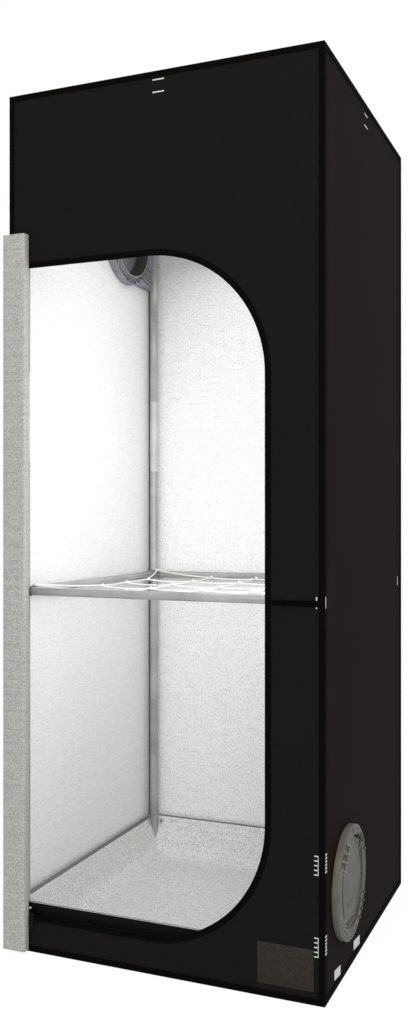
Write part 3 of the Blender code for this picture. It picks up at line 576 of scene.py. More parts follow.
# Grey tape put where there is only shade: painted shadow along the tray's edges, painted shade in the
# upright corners
PAINTED_SHADE_TAPE = grosgrain("woven_painted_shade_tape", "6a6a68", "868684")
EYELET = moulded_nylon("pale_moulded_nylon_eyelet", "a6a6a4", "bcbcba")
LABEL = label_cloth("satin_label_cloth", "24211d", "312e28")
WHITE_THREAD = thread("white_polyester_thread", "b4b4b1", "dcdcda")
WHITE_TAPE = thread("reflective_white_tape", "b9b9b6", "d2d2cf")


# Cover

def metre_uvs(piece, width, length):
    """Turn a grid's 0 to 1 UVs into metres, so that a pattern keeps its real size."""
    for corner in piece.data.uv_layers.active.data:
        corner.uv = (corner.uv[0] * width, corner.uv[1] * length)


def ease(value):
    value = max(0.0, min(1.0, value))
    return value * value * (3 - 2 * value)


def door_distance(x, z):
    """How far a point of the front lies outside the door opening, in metres."""
    bend_x = DOOR_RIGHT - DOOR_CORNER
    low_z, high_z = DOOR_BOTTOM + DOOR_CORNER, DOOR_TOP - DOOR_CORNER
    if x > bend_x and not low_z < z < high_z:
        near_z = low_z if z < low_z else high_z
        return math.hypot(x - bend_x, z - near_z) - DOOR_CORNER
    return max(x - DOOR_RIGHT, DOOR_LEFT - x, DOOR_BOTTOM - z, z - DOOR_TOP)


def flat_grid(name, width, length, middle, turn, cell=CELL):
    """A sheet of square cells at its place, with UVs in metres."""
    clear_bench()
    bpy.ops.mesh.primitive_grid_add(x_subdivisions=max(2, round(width / cell)), size=1,
                                    y_subdivisions=max(2, round(length / cell)),
                                    location=middle, rotation=[math.radians(a) for a in turn])
    bpy.context.object.scale = (width, length, 1)
    piece = set_down(name)
    metre_uvs(piece, width, length)
    return piece


def cloth_panel(side, turn, outward, outer, clear_of=None, hole=None):
    """One panel of the cover: black outside, silver inside, drawn taut with slight slack."""
    low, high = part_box(f"{side}_panel")
    outward = Vector(outward)
    size = high - low
    middle = (low + high) / 2
    reach = sum(abs(a * b) for a, b in zip(outward, size)) / 2
    middle += outward * reach
    across = size.y if abs(outward.x) > 0.5 else size.x
    along = size.y if abs(outward.z) > 0.5 else size.z
    piece = flat_grid(f"{side}_cloth", across, along, middle, turn)
    for point in piece.data.vertices:
        place = point.co
        edge = min(min(place[i] - low[i], high[i] - place[i]) for i in range(3) if abs(outward[i]) < 0.5)
        slack = ease((edge - TAPE_BAND) / BILLOW_REACH)
        if clear_of:
            slack *= ease(clear_of(place) / BILLOW_REACH)
        wave = noise.noise(place * 6.0 + outward * 9.0) * 0.5 + noise.noise(place * 15.0) * 0.2
        point.co = place - outward * BILLOW * slack * (0.5 + wave)
    coat(piece, outer, FILM_SIDE if outer == OXFORD_SIDE_PAINTED_LIGHT else FILM_WALL)
    modify(piece, "SOLIDIFY", thickness=CLOTH, offset=-1, material_offset=1, use_even_offset=True)
    if hole:
        carve(piece, hole)
    hand_over(piece, "tent", None, [f"{side}_panel"])
    return piece


def door_face(name, grow, depth):
    """The D of the door opening, grown by a margin, as one face in a plane of the front."""
    clear_bench()
    low = Vector((DOOR_LEFT - grow, depth, DOOR_BOTTOM - grow))
    high = Vector((DOOR_RIGHT + grow, depth, DOOR_TOP + grow))
    bpy.ops.mesh.primitive_plane_add(size=1, location=(low + high) / 2, rotation=(math.pi / 2, 0, 0))
    bpy.context.object.scale = (high.x - low.x, high.z - low.z, 1)
    piece = set_down(name)
    work_on(piece)
    choose("VERT", lambda v: v.co.x > 0)
    bpy.ops.mesh.bevel(offset=DOOR_CORNER + grow, segments=DOOR_STEPS, affect="VERTICES")
    bpy.ops.object.mode_set(mode="OBJECT")
    return piece


def build_panels():
    """The six panels of the cover, with the door opening and a vent hole in each side."""
    cutter = door_face("door_cutter", 0.0, -SKIN)
    modify(cutter, "SOLIDIFY", thickness=0.04, offset=0)
    front = cloth_panel("front", (90, 0, 0), (0, -1, 0), OXFORD_FRONT,
                        lambda p: door_distance(p.x, p.z) - ZIP_BAND, cutter)

    back = cloth_panel("back", (90, 0, 180), (0, 1, 0), OXFORD_FRONT)

    through = Vector((0.02, 0, 0))
    for side_name, side, turn in (("right", 1, 90), ("left", -1, -90)):
        vent = Vector((side * SKIN, side * VENT_Y, VENT_Z if side > 0 else VENT_Z + VENT_RISE))
        hole = rod("vent_hole", SLEEVE_HOLE, vent - through, vent + through, 80)
        # The sides take the oxford copy with painted warm light and painted shade
        wall = cloth_panel(side_name, (90, 0, turn), (side, 0, 0), OXFORD_SIDE_PAINTED_LIGHT,
                           lambda p, vent=vent: (p - vent).length - VENT_CLEAR, hole)

    roof = cloth_panel("roof", (0, 0, 0), (0, 0, 1), OXFORD_FRONT)

    # The floor lies flat, so it gets no slack
    floor = cloth_panel("floor", (180, 0, 0), (0, 0, -1), OXFORD_FRONT, lambda p: -1.0)


def build_binding():
    """The tape sewn round every seam, folded over each edge."""
    low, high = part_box("edge_tape")
    middle, reach = (low + high) / 2, (high - low) / 2

    def along_box_edge(edge):
        place = (edge.verts[0].co + edge.verts[1].co) / 2
        return sum(abs(abs(place[i] - middle[i]) - reach[i]) < 1e-4 for i in range(3)) >= 2

    clear_bench()
    bpy.ops.mesh.primitive_cube_add(size=1, location=middle)
    bpy.context.object.scale = high - low
    piece = set_down("edge_binding")
    work_on(piece)
    bpy.ops.mesh.select_all(action="SELECT")
    bpy.ops.mesh.inset(thickness=TAPE_BAND, use_individual=True, depth=0)
    # Only the bands beside the edges stay, and none of them on the underside
    choose("FACE", lambda f: f.normal.z < -0.5 or f.calc_area() > 0.1)
    bpy.ops.mesh.delete(type="FACE")
    choose("EDGE", lambda e: along_box_edge(e) and not e.is_boundary)
    bpy.ops.mesh.bevel(offset=TAPE_ROUNDING, segments=4, affect="EDGES")
    bpy.ops.object.mode_set(mode="OBJECT")
    modify(piece, "SOLIDIFY", thickness=TAPE_THICK, offset=-1, use_even_offset=True)
    smooth(piece)
    hand_over(piece, "tent", BINDING, ["edge_tape"])


def build_corner_shade():
    """Grey strips on the inside of the upright seams: painted shade in the corners behind the poles."""
    inside = SKIN - CLOTH
    for x_side, across in ((-1, "left"), (1, "right")):
        for y_side, along in ((-1, "front"), (1, "rear")):
            corner = Vector((x_side * inside, y_side * inside, 0))
            legs = []
            for reach in ((CORNER_SHADE_WIDTH, CORNER_SHADE_THICK), (CORNER_SHADE_THICK, CORNER_SHADE_WIDTH)):
                other = corner - Vector((x_side * reach[0], y_side * reach[1], 0))
                low = Vector(map(min, corner, other)) + Vector((0, 0, CORNER_SHADE_BOTTOM))
                high = Vector(map(max, corner, other)) + Vector((0, 0, CORNER_SHADE_TOP))
                legs.append(block("corner_shade_leg", low, high, 0.0002))
            # Each corner's strip is painted shade, where the walls meet behind the pole
            tape = merge(f"inner_seam_tape_{along}_{across}", legs)
            smooth(tape)
            hand_over(tape, "tent", PAINTED_SHADE_TAPE)


def build_zip():
    """The zip's tape round the door, with its row of teeth along the opening's edge."""
    band = door_face("door_zip_tape", ZIP_BAND, ZIP_BACK - TAPE_THICK)
    work_on(band)
    choose("FACE", lambda f: True)
    bpy.ops.mesh.inset(thickness=ZIP_BAND)
    choose("FACE", lambda f: f.calc_area() > 0.1)
    bpy.ops.mesh.delete(type="FACE")
    bpy.ops.mesh.select_all(action="SELECT")
    bpy.ops.mesh.bisect(plane_co=(ZIP_LEFT, 0, 0), plane_no=(1, 0, 0), clear_inner=True)
    bpy.ops.object.mode_set(mode="OBJECT")
    modify(band, "SOLIDIFY", thickness=TAPE_THICK, offset=-1, use_even_offset=True)
    soften(band, 0.0003)
    smooth(band)
    hand_over(band, "tent", ZIP_TAPE, ["zip_tape"])

    # The coil of teeth runs just outside the opening's edge
    bend_x = DOOR_RIGHT - DOOR_CORNER
    reach = DOOR_CORNER + TEETH_OUT
    path = [(ZIP_LEFT + 0.002, DOOR_BOTTOM - TEETH_OUT)]
    for near_z, start in ((DOOR_BOTTOM + DOOR_CORNER, -90), (DOOR_TOP - DOOR_CORNER, 0)):
        for i in range(DOOR_STEPS + 1):
            angle = math.radians(start + 90 * i / DOOR_STEPS)
            path.append((bend_x + reach * math.cos(angle), near_z + reach * math.sin(angle)))
    path.append((ZIP_LEFT + 0.002, DOOR_TOP + TEETH_OUT))
    coil = cord_along("zip_coil", [(x, ZIP_BACK - TAPE_THICK - 0.0001, z) for x, z in path], TEETH_RADIUS)
    smooth(coil, 50)
    hand_over(coil, "tent", ZIP_TAPE)


def build_strap():
    """The webbing strap across the front: slightly crumpled, sewn down at both ends."""
    low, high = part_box("front_strap")
    size = high - low
    middle = ((low.x + high.x) / 2, high.y - 0.0002, (low.z + high.z) / 2)
    piece = flat_grid("front_webbing", size.x, size.z, middle, (90, 0, 0), STRAP_CELL)
    for point in piece.data.vertices:
        place = point.co
        ends = ease(min(place.x - low.x, high.x - place.x) / STRAP_SEWN_ENDS)
        crumple = abs(noise.noise(place * 130.0)) + 0.5 * abs(noise.noise(place * 330.0))
        point.co = place - Vector((0, STRAP_CRUMPLE * ends * crumple, 0))
    modify(piece, "SOLIDIFY", thickness=STRAP_THICK, offset=1, use_even_offset=True)
    smooth(piece, 60)
    hand_over(piece, "tent", WEBBING, ["front_strap"])


# Rolled door

def roll_path(width, depth):
    """The rolled sheet's outer line seen from above: its seam at the back left, then wound in."""
    flat = (width - depth) / 2
    points = [(-width / 2, depth / 2)]
    points += [(-width / 2 + (width / 2 + flat) * i / ROLL_FLAT_STEPS, depth / 2)
               for i in range(1, ROLL_FLAT_STEPS)]
    for half_turn in range(ROLL_HALF_TURNS):
        side, tightens = (1, 0) if half_turn % 2 == 0 else (-1, 1)
        # The plies lie pressed flat, so the outer bends are squarer than the inner ones
        pressed = min(1.0, ROLL_PRESSED_SHARE + 0.05 * half_turn)
        for i in range(ROLL_BEND_STEPS + 1):
            share = i / ROLL_BEND_STEPS
            angle = math.radians(90 - 180 * (half_turn + share))
            radius = depth / 2 - ROLL_PITCH * (half_turn // 2 + tightens * share)
            across, outward = (math.copysign(abs(f(angle)) ** pressed, f(angle))
                               for f in (math.cos, math.sin))
            points.append((side * flat + radius * across, radius * outward))
        if half_turn < ROLL_HALF_TURNS - 1:
            x, y = points[-1]
            points += [(x - 2 * side * flat * i / ROLL_FLAT_STEPS, y) for i in range(1, ROLL_FLAT_STEPS)]
    return points


def build_roll():
    """The door, rolled up silver side out and hanging at the left edge of the opening."""
    low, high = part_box("door_roll")
    middle = (low + high) / 2
    path = roll_path(high.x - low.x + 0.0012, high.y - low.y)
    lengths = [0.0]
    for (x0, y0), (x1, y1) in zip(path, path[1:]):
        lengths.append(lengths[-1] + math.hypot(x1 - x0, y1 - y0))
    wound, tall = lengths[-1], high.z - low.z
    outer_ply = 2 * (high.x - low.x) + 2 * (high.y - low.y)
    clear_bench()
    bpy.ops.mesh.primitive_grid_add(x_subdivisions=len(path) - 1, y_subdivisions=ROLL_ROWS, size=1)
    piece = set_down("rolled_door_cloth")
    for corner in piece.data.uv_layers.active.data:
        column = round(corner.uv[0] * (len(path) - 1))
        corner.uv = (lengths[column], corner.uv[1] * tall)
    for point in piece.data.vertices:
        column = round((point.co.x + 0.5) * (len(path) - 1))
        share = point.co.y + 0.5
        x, y = path[column]
        length = lengths[column]
        # The inner plies' ends don't quite line up, and the roll is a little uneven along its length
        inward = ease((length - outer_ply) / outer_ply)
        ragged = abs(noise.noise(Vector((length * 16.0, 3.0, 0.0))))
        slip = ROLL_RAGGED * inward * ragged + ROLL_DRAWN_IN * length / wound
        height = low.z + slip + (tall - 2 * slip) * share
        uneven = noise.noise(Vector((length * 4.0, height * 7.0, 0.5)))
        creased = abs(noise.noise(Vector((length * 3.0, height * 31.0, 4.0))))
        dented = ROLL_UNEVEN * max(0.0, uneven) + ROLL_CREASED * creased
        squeeze = 1.0 - dented * ease(length / 0.03)
        point.co = (middle.x + x * squeeze, middle.y + y * squeeze, height)
    if piece.data.polygons[0].normal.y < 0:
        work_on(piece)
        bpy.ops.mesh.select_all(action="SELECT")
        bpy.ops.mesh.flip_normals()
        bpy.ops.object.mode_set(mode="OBJECT")
    # The silver side takes the film copy painted darker: painted shade
    coat(piece, FILM_ROLL_PAINTED_SHADE, OXFORD_FRONT)
    modify(piece, "SOLIDIFY", thickness=ROLL_PLY, offset=-1, material_offset=1, use_even_offset=True)
    smooth(piece, 40)
    hand_over(piece, "door_roll", None, ["door_roll"])


# Spill tray

def tray_place(distance):
    """How far out and how high the tray's underside is, this far from its middle along the cloth."""
    walked = 0.0
    for (x0, z0), (x1, z1) in zip(TRAY_SECTION, TRAY_SECTION[1:]):
        step = math.hypot(x1 - x0, z1 - z0)
        if distance <= walked + step + 1e-9:
            share = (distance - walked) / step
            return x0 + (x1 - x0) * share, z0 + (z1 - z0) * share
        walked += step
    return TRAY_SECTION[-1]


def build_tray():
    """The spill tray: silver inside, black outside, folded up over the rails and slit round each pole."""
    reach = sum(math.hypot(x1 - x0, z1 - z0)
                for (x0, z0), (x1, z1) in zip(TRAY_SECTION, TRAY_SECTION[1:]))
    wide = 2 * reach
    piece = flat_grid("spill_tray_cloth", wide, wide, (0, 0, 0), (0, 0, 0), wide / TRAY_CELLS)
    for point in piece.data.vertices:
        flat = max(abs(point.co.x), abs(point.co.y), 1e-9)
        out, height = tray_place(flat)
        # The middle of its floor lies loose
        wave = 0.0
        if flat < TRAY_LOOSE:
            wave = 0.0006 * (1 + noise.noise(point.co * 9.0)) * ease((TRAY_LOOSE - flat) / 0.06)
        point.co = (point.co.x * out / flat, point.co.y * out / flat, height + wave)
    coat(piece, FILM_TRAY, OXFORD_FRONT)
    modify(piece, "SOLIDIFY", thickness=CLOTH, offset=1, material_offset=1, use_even_offset=True)
    for x_side in (-1, 1):
        for y_side in (-1, 1):
            foot = Vector((x_side * POLE_AT, y_side * POLE_AT, 0.0))
            carve(piece, rod("pole_slit", POLE_RADIUS + SLIT_GAP, foot, foot + Vector((0, 0, 0.1)), 40))
    # The right wall is cut away behind the low vent and its bracket
    wall_in, notch_floor, notch_top, hollow_radius = 0.276, 0.065, 0.11, 0.101
    notch = block("vent_notch", (wall_in, -HALF_WIDTH, notch_floor), (HALF_WIDTH, VENT_Y, notch_top))
    hollow = rod("vent_hollow", hollow_radius, (wall_in, VENT_Y, VENT_Z),
                 (HALF_WIDTH, VENT_Y, VENT_Z), 80)
    carve(piece, notch)
    carve(piece, hollow)
    smooth(piece, 20)
    hand_over(piece, "tent", None, ["spill_tray"])

    # A grey strip along the top of each wall, between the poles and behind the vent: a painted shadow of
    # the gap between the tray's edge and the cover
    (x3, z3), (x4, z4) = TRAY_SECTION[-2:]
    lean = math.atan2(x4 - x3, z4 - z3)
    out, height = tray_place(reach)
    for side, quarter, tall, end in (("left", 90, 0.0070, GAP_SHADOW_END), ("rear", 0, 0.0034, 0.271),
                                     ("right", -90, 0.0070, 0.040), ("front", 180, 0.0034, 0.271)):
        turn = (Matrix.Rotation(math.radians(quarter), 4, "Z")
                @ Matrix.Translation((0, out - CLOTH, height)) @ Matrix.Rotation(-lean, 4, "X"))
        gap_shadow = block(f"tray_gap_painted_shadow_{side}", (-GAP_SHADOW_END, -0.0007, GAP_SHADOW_RISE - tall),
                    (end, 0.0004, GAP_SHADOW_RISE), 0.0003, turn)
        smooth(gap_shadow)
        hand_over(gap_shadow, "tent", PAINTED_SHADE_TAPE)

    # Eyelets beside the poles, through the tray's walls
    eyelet = turned("tray_eyelet", [
        (0.0030, 0.0002), (0.0034, 0.0010), (0.0050, 0.0012), (0.0073, 0.0008), (0.0076, 0.0001),
        (0.0030, 0.0001)], steps=28)
    out, height = tray_place(reach - EYELET_DROP)
    face, tilt, deep = out - CLOTH, math.pi / 2 - lean, Vector((0, 0, 0.004))
    for i, (x_side, y_side) in enumerate(((-1, 1), (1, 1), (-1, -1))):
        in_end_wall = (Matrix.Translation((x_side * EYELET_AT, y_side * face, height))
                       @ Matrix.Rotation(y_side * tilt, 4, "X"))
        in_side_wall = (Matrix.Translation((x_side * face, y_side * EYELET_AT, height))
                        @ Matrix.Rotation(-x_side * tilt, 4, "Y"))
        for wall, seat in (("end", in_end_wall), ("side", in_side_wall)):
            carve(piece, rod("eyelet_hole", EYELET_BORE, -deep, deep, 20, turn=seat))
            one = copy_of(eyelet, f"tray_eyelet_{i}_{wall}", seat)
            smooth(one, 40)
            hand_over(one, "tent", EYELET)
    bpy.data.objects.remove(eyelet)


# Frame

def tube_for(part, name, body="tent"):
    """A hollow tube with softened rims, where a CAD pole is."""
    low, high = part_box(part)
    size = high - low
    axis = max(range(3), key=lambda i: size[i])
    start, end = (low + high) / 2, (low + high) / 2
    start[axis], end[axis] = low[axis], high[axis]
    piece = rod(name, min(size) / 2, start, end, TUBE_SIDES, ends="NOTHING")
    modify(piece, "SOLIDIFY", thickness=TUBE_WALL, offset=-1, use_even_offset=True)
    soften(piece, RIM_SOFTENING, 2, 60)
    smooth(piece)
    hand_over(piece, body, STEEL, [part])


def build_frame():
    """The tubes, and the sleeve that joins each upright's lower and upper pole."""
    for corner in ("front_left", "front_right", "rear_left", "rear_right"):
        tube_for(f"lower_pole_{corner}", f"lower_tube_{corner}")
        tube_for(f"upper_pole_{corner}", f"upper_tube_{corner}")
        low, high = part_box(f"lower_pole_{corner}")
        above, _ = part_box(f"upper_pole_{corner}")
        at = (low + high) / 2
        length = above.z - high.z - 2 * SLEEVE_GAP
        sleeve = turned(f"joining_sleeve_{corner}", [
            (0.0082, length + SLEEVE_REACH), (0.0082, length), (0.0092, length), (0.0095, length - 0.0004),
            (0.0095, 0.0004), (0.0092, 0), (0.0082, 0), (0.0082, -SLEEVE_REACH), (0.0062, -SLEEVE_REACH),
            (0.0062, length + SLEEVE_REACH)],
            Matrix.Translation((at.x, at.y, high.z + SLEEVE_GAP)), TUBE_SIDES)
        smooth(sleeve)
        hand_over(sleeve, "tent", STEEL_SLEEVE, [f"joiner_{corner}"])
    for level in ("floor", "roof"):
        for place in ("front", "rear", "left", "right"):
            tube_for(f"{level}_rail_{place}", f"{level}_tube_{place}")
    for place in ("front", "rear", "left", "right"):
        tube_for(f"ring_bar_{place}", f"ring_tube_{place}", "support_ring")
    # Pieces that keep their CAD shape and only get a finish
    for name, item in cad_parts.items():
        for kind, finish in (("connector", NYLON), ("ring_clip", CLIP_NYLON), ("hanging_bar", STEEL),
                             ("zip_slider", ZINC), ("zip_pull", ZINC)):
            if kind in name:
                coat(item, finish)


# Net

def net_point(column, row):
    """A crossing of the net, counted from its middle."""
    outermost = max(abs(column), abs(row)) / 2
    return Vector((column * NET_STEP, row * NET_STEP, RING_AT - NET_SAG * (1 - outermost)))


def corner_point(column, row):
    """Where a cord ends on its peg's loop at a corner."""
    inward = LOOP_RADIUS / math.sqrt(2)
    return Vector((math.copysign(PEG_AT - inward, column), math.copysign(PEG_AT - inward, row), LOOP_AT))


def hanging(start, end):
    """Points of a strand that sags between two knots."""
    points = []
    for i in range(STRAND_STEPS):
        share = i / STRAND_STEPS
        points.append(start.lerp(end, share) - Vector((0, 0, 4 * STRAND_SAG * share * (1 - share))))
    return points


def build_net():
    """The plant net: knotted cord, with a loop over a peg at each corner."""
    cords = []
    last = NET_LINES[-1]
    for line in NET_LINES:
        for turn in (False, True):
            stops = [net_point(k, line) for k in NET_LINES]
            if abs(line) == last:
                stops[0], stops[-1] = corner_point(-last, line), corner_point(last, line)
            if turn:
                stops = [Vector((p.y, p.x, p.z)) for p in stops]
            points = []
            for start, end in zip(stops, stops[1:]):
                points += hanging(start, end)
            lift = Vector((0, 0, STRAND_LIFT if turn else -STRAND_LIFT))
            points = [p + lift for p in points] + [stops[-1] + lift]
            cords.append(cord_along(f"net_cord_{line}_{turn}", points, CORD_RADIUS))
    # One knot, modelled as a turn and a half of cord, and copied to every crossing
    coil = []
    for i in range(KNOT_STEPS + 1):
        angle = math.tau * 1.5 * i / KNOT_STEPS
        coil.append((KNOT_RADIUS * math.cos(angle), KNOT_RADIUS * math.sin(angle),
                     -KNOT_RADIUS + 2 * KNOT_RADIUS * i / KNOT_STEPS))
    knot = cord_along("net_knot", coil, KNOT_CORD)
    tilt = Matrix.Rotation(math.radians(55), 4, (1, 1, 0))
    for column in NET_LINES:
        for row in NET_LINES:
            if abs(column) == last and abs(row) == last:
                continue
            turn = Matrix.Rotation(math.radians(37 * (column + 3) * (row + 4)), 4, "Z")
            cords.append(copy_of(knot, f"net_knot_{column}_{row}",
                                 Matrix.Translation(net_point(column, row)) @ turn @ tilt))
    bpy.data.objects.remove(knot)
    for x_side in (-1, 1):
        for y_side in (-1, 1):
            loop = []
            for i in range(LOOP_STEPS):
                angle = math.tau * i / LOOP_STEPS
                loop.append((x_side * PEG_AT + LOOP_RADIUS * math.cos(angle),
                             y_side * PEG_AT + LOOP_RADIUS * math.sin(angle), LOOP_AT))
            cords.append(cord_along("net_loop", loop, CORD_RADIUS, closed=True))
    net = merge("knotted_net", cords)
    smooth(net, 60)
    hand_over(net, "support_ring", CORD, ["plant_net"])


# Vents

def vent_turn():
    """From the vent's own frame, +Z out and +Y up, to the low vent's place in the right wall."""
    across, up, outward = Vector((0, 1, 0)), Vector((0, 0, 1)), Vector((1, 0, 0))
    turn = Matrix((across, up, outward)).transposed().to_4x4()
    return Matrix.Translation((SKIN, VENT_Y, VENT_Z)) @ turn


def polar(radius, degrees, height=0.0):
    """A point at a distance and an angle from the vent's axis."""
    angle = math.radians(degrees)
    return Vector((radius * math.cos(angle), radius * math.sin(angle), height))


def arc_block(name, inner, outer, start, span, bottom, top, turn=None):
    """A block bent along an arc, from one angle over a span, in degrees."""
    start_point(polar(inner, start, bottom))
    bpy.ops.mesh.extrude_vertices_move(
        TRANSFORM_OT_translate={"value": polar(1, start) * (outer - inner)})
    bpy.ops.mesh.select_all(action="SELECT")
    bpy.ops.mesh.extrude_region_move(TRANSFORM_OT_translate={"value": (0, 0, top - bottom)})
    spin_round(max(2, round(span / 2.5)), -math.radians(span), 1e-7)
    return set_down(name, turn)


def vent_flange():
    """The outer ring and its sleeve, with three lug pockets and the small marks of its moulding."""
    flange = turned("flange", [
        (0.0830, 0.0003), (0.0968, 0.0003), (0.0975, 0.0010), (0.0975, 0.0103), (0.0973, 0.0108),
        (0.0968, 0.0110), (0.0925, 0.0110), (0.0921, 0.0104), (0.0916, 0.0104), (0.0912, 0.0110),
        (0.0795, 0.0110), (0.0782, 0.0104), (0.0770, 0.0104), (0.0761, 0.0098), (0.0761, 0.0047),
        (0.0711, 0.0047), (0.0711, 0.0023), (0.0795, 0.0023), (0.0795, -0.0236), (0.0799, -0.0240),
        (0.0826, -0.0240), (0.0830, -0.0236)])
    for start in (40, 160, 280):
        carve(flange, arc_block("pocket", 0.0740, 0.0799, start, 42, 0.00485, CUT_TOP))
    # A deep crescent that thins out at the upper right, two slots and some sink marks
    for inner, outer, start, span, floor in ((0.0785, 0.0842, 43, 22, 0.0012),
                                             (0.0840, 0.0868, 26, 24, 0.0065),
                                             (0.0884, 0.0925, 174, 8, 0.0070),
                                             (0.0845, 0.0912, 85, 3.6, 0.0070)):
        carve(flange, arc_block("slot", inner, outer, start, span, floor, CUT_TOP))
    for angle, radius in ((214, 0.0832), (221, 0.0852), (232, 0.0842), (242, 0.0856)):
        carve(flange, rod("sink_mark", 0.0025, polar(radius, angle, 0.0072),
                          polar(radius, angle, CUT_TOP), 16))
    # The outer ends of the ladder's rungs, and the wells between them
    for (_, y0, _), (_, y1, _) in zip(RUNGS, RUNGS[1:]):
        middle = (y0 + y1) / 2
        edge = -math.sqrt(SLEEVE_LIP ** 2 - middle ** 2)
        carve(flange, block("well", (edge - 0.0110, middle - WELL_HALF, 0.0092),
                            (edge - 0.0010, middle + WELL_HALF, CUT_TOP), turn=RUNG_CLIMB))
    bumps = []
    for _, y, _ in RUNGS:
        edge = -math.sqrt(SLEEVE_LIP ** 2 - y ** 2)
        bumps.append(block("rung_end", (edge - 0.0130, y - RUNG_HALF, 0.0100),
                           (edge, y + RUNG_HALF, 0.0120), 0.0005, RUNG_CLIMB))
    for angle in (44, 35, 22, -29, -38, -48, -59):
        bumps.append(rod("bump", 0.0029, polar(0.0905, angle, 0.0100), polar(0.0905, angle, 0.0142),
                         18, 0.0010))
    flange = merge("flange", [flange] + bumps)

    def painted_light_and_shade(place):
        """Painted light and shade: paler inner side, darker bore, paler outer rim and rung tops, darker
        wells.
        """
        radius = place.xy.length
        # The bore is painted darker: painted shade inside the sleeve
        if place.z < 0.0022 and radius < 0.0797:
            return VENT_BORE_PAINTED_SHADE
        # The sleeve's side inside the tent is painted paler: painted light
        if place.z < -0.0018:
            return VENT_INNER_PAINTED_LIGHT
        # The outer rim is painted paler: painted light on its side
        if radius > 0.0970:
            return VENT_RIM_PAINTED_LIGHT
        if place.x < -0.03 and place.y > 0.02 and radius < 0.0915:
            # The rung ends' tops are painted paler: painted highlight
            if place.z > 0.01105:
                return VENT_RUNG_PAINTED_LIGHT
            # The wells are painted darker: painted shade
            if 0.0088 < place.z < 0.0100:
                return VENT_WELL_PAINTED_SHADE
        return VENT_NYLON

    coat(flange, VENT_NYLON, VENT_INNER_PAINTED_LIGHT, VENT_BORE_PAINTED_SHADE, VENT_RIM_PAINTED_LIGHT, VENT_RUNG_PAINTED_LIGHT, VENT_WELL_PAINTED_SHADE, choice=painted_light_and_shade)
    return flange


def vent_cap():
    """The twist cap: a dished disc with lugs, a ratchet ladder, a long slot, holes and a twisting tab."""
    cap = turned("cap", [
        (0.0, 0.0020), (0.0698, 0.0020), (0.0702, 0.0024), (0.0702, 0.0050), (0.0750, 0.0050),
        (0.0755, 0.0055), (0.0755, 0.0085), (0.0750, 0.0090), (0.0719, 0.0090), (0.0713, 0.0084),
        (0.0710, 0.0076), (0.0, 0.0076)], closed=False)
    for start in (43, 163, 283):
        carve(cap, arc_block("lug", 0.0735, 0.0790, start, 10, 0.0053, 0.0087), "UNION")
    # The ladder's rungs lie parallel and climb towards the rim, with a well between each two
    for (x0, y0, _), (x1, y1, _) in zip(RUNGS, RUNGS[1:]):
        between = RUNG_CLIMB @ Matrix.Translation(((x0 + x1) / 2, (y0 + y1) / 2, 0))
        carve(cap, block("well", (-0.0150, -WELL_HALF, 0.0060), (0.0080, WELL_HALF, CUT_TOP),
                         turn=between))
    # The long slot is flatter than the disc's edge, and bends round a point beyond the middle
    carve(cap, arc_block("slot", 0.0926, 0.0974, 163, 46, 0.0030, CUT_TOP,
                         Matrix.Translation((0.0421, -0.0027, 0))))
    for angle in (40, 29, 19, 10, 1, -7, -15):
        carve(cap, rod("hole", 0.0021, polar(0.0733, angle, 0.0054), polar(0.0733, angle, CUT_TOP), 14))
    for angle, radius in ((254, 0.0690), (262, 0.0668)):
        carve(cap, rod("sink_mark", 0.0026, polar(radius, angle, 0.0045),
                       polar(radius, angle, CUT_TOP), 16))
    extras = []
    for x, y, reach in RUNGS:
        extras.append(block("rung", (-reach, -RUNG_HALF, 0.0060), (reach, RUNG_HALF, 0.0108), 0.0005,
                            RUNG_CLIMB @ Matrix.Translation((x, y, 0))))
    extras.append(block("step", (-0.022, -0.0692, 0.0070), (0.029, -0.0668, 0.0096), 0.0006))
    extras.append(block("twist_tab", (-0.017, -0.003, 0.0068), (0.017, 0.003, 0.0085), 0.0008,
                        Matrix.Translation((0, -0.0355, 0)), 3))
    cap = merge("cap", [cap] + extras)
    level = RUNG_CLIMB.inverted()

    def painted_light_and_shade(place):
        """Painted light and shade: paler rung tops, darker wells, and a paler face inside the tent."""
        x, y, _ = level @ place
        # The face inside the tent takes the clip's paler nylon: painted light against the shade of the
        # sleeve
        if place.z < 0.0023:
            return CLIP_NYLON
        if -0.078 < x < -0.026 and 0.008 < y < 0.063:
            # The rung tops are painted paler: painted highlight
            if place.z > 0.0080:
                return VENT_RUNG_PAINTED_LIGHT
            # The wells are painted darker: painted shade
            if place.z < 0.0074:
                return VENT_WELL_PAINTED_SHADE
        return VENT_DISC

    coat(cap, VENT_DISC, VENT_RUNG_PAINTED_LIGHT, VENT_WELL_PAINTED_SHADE, CLIP_NYLON, choice=painted_light_and_shade)
    return cap


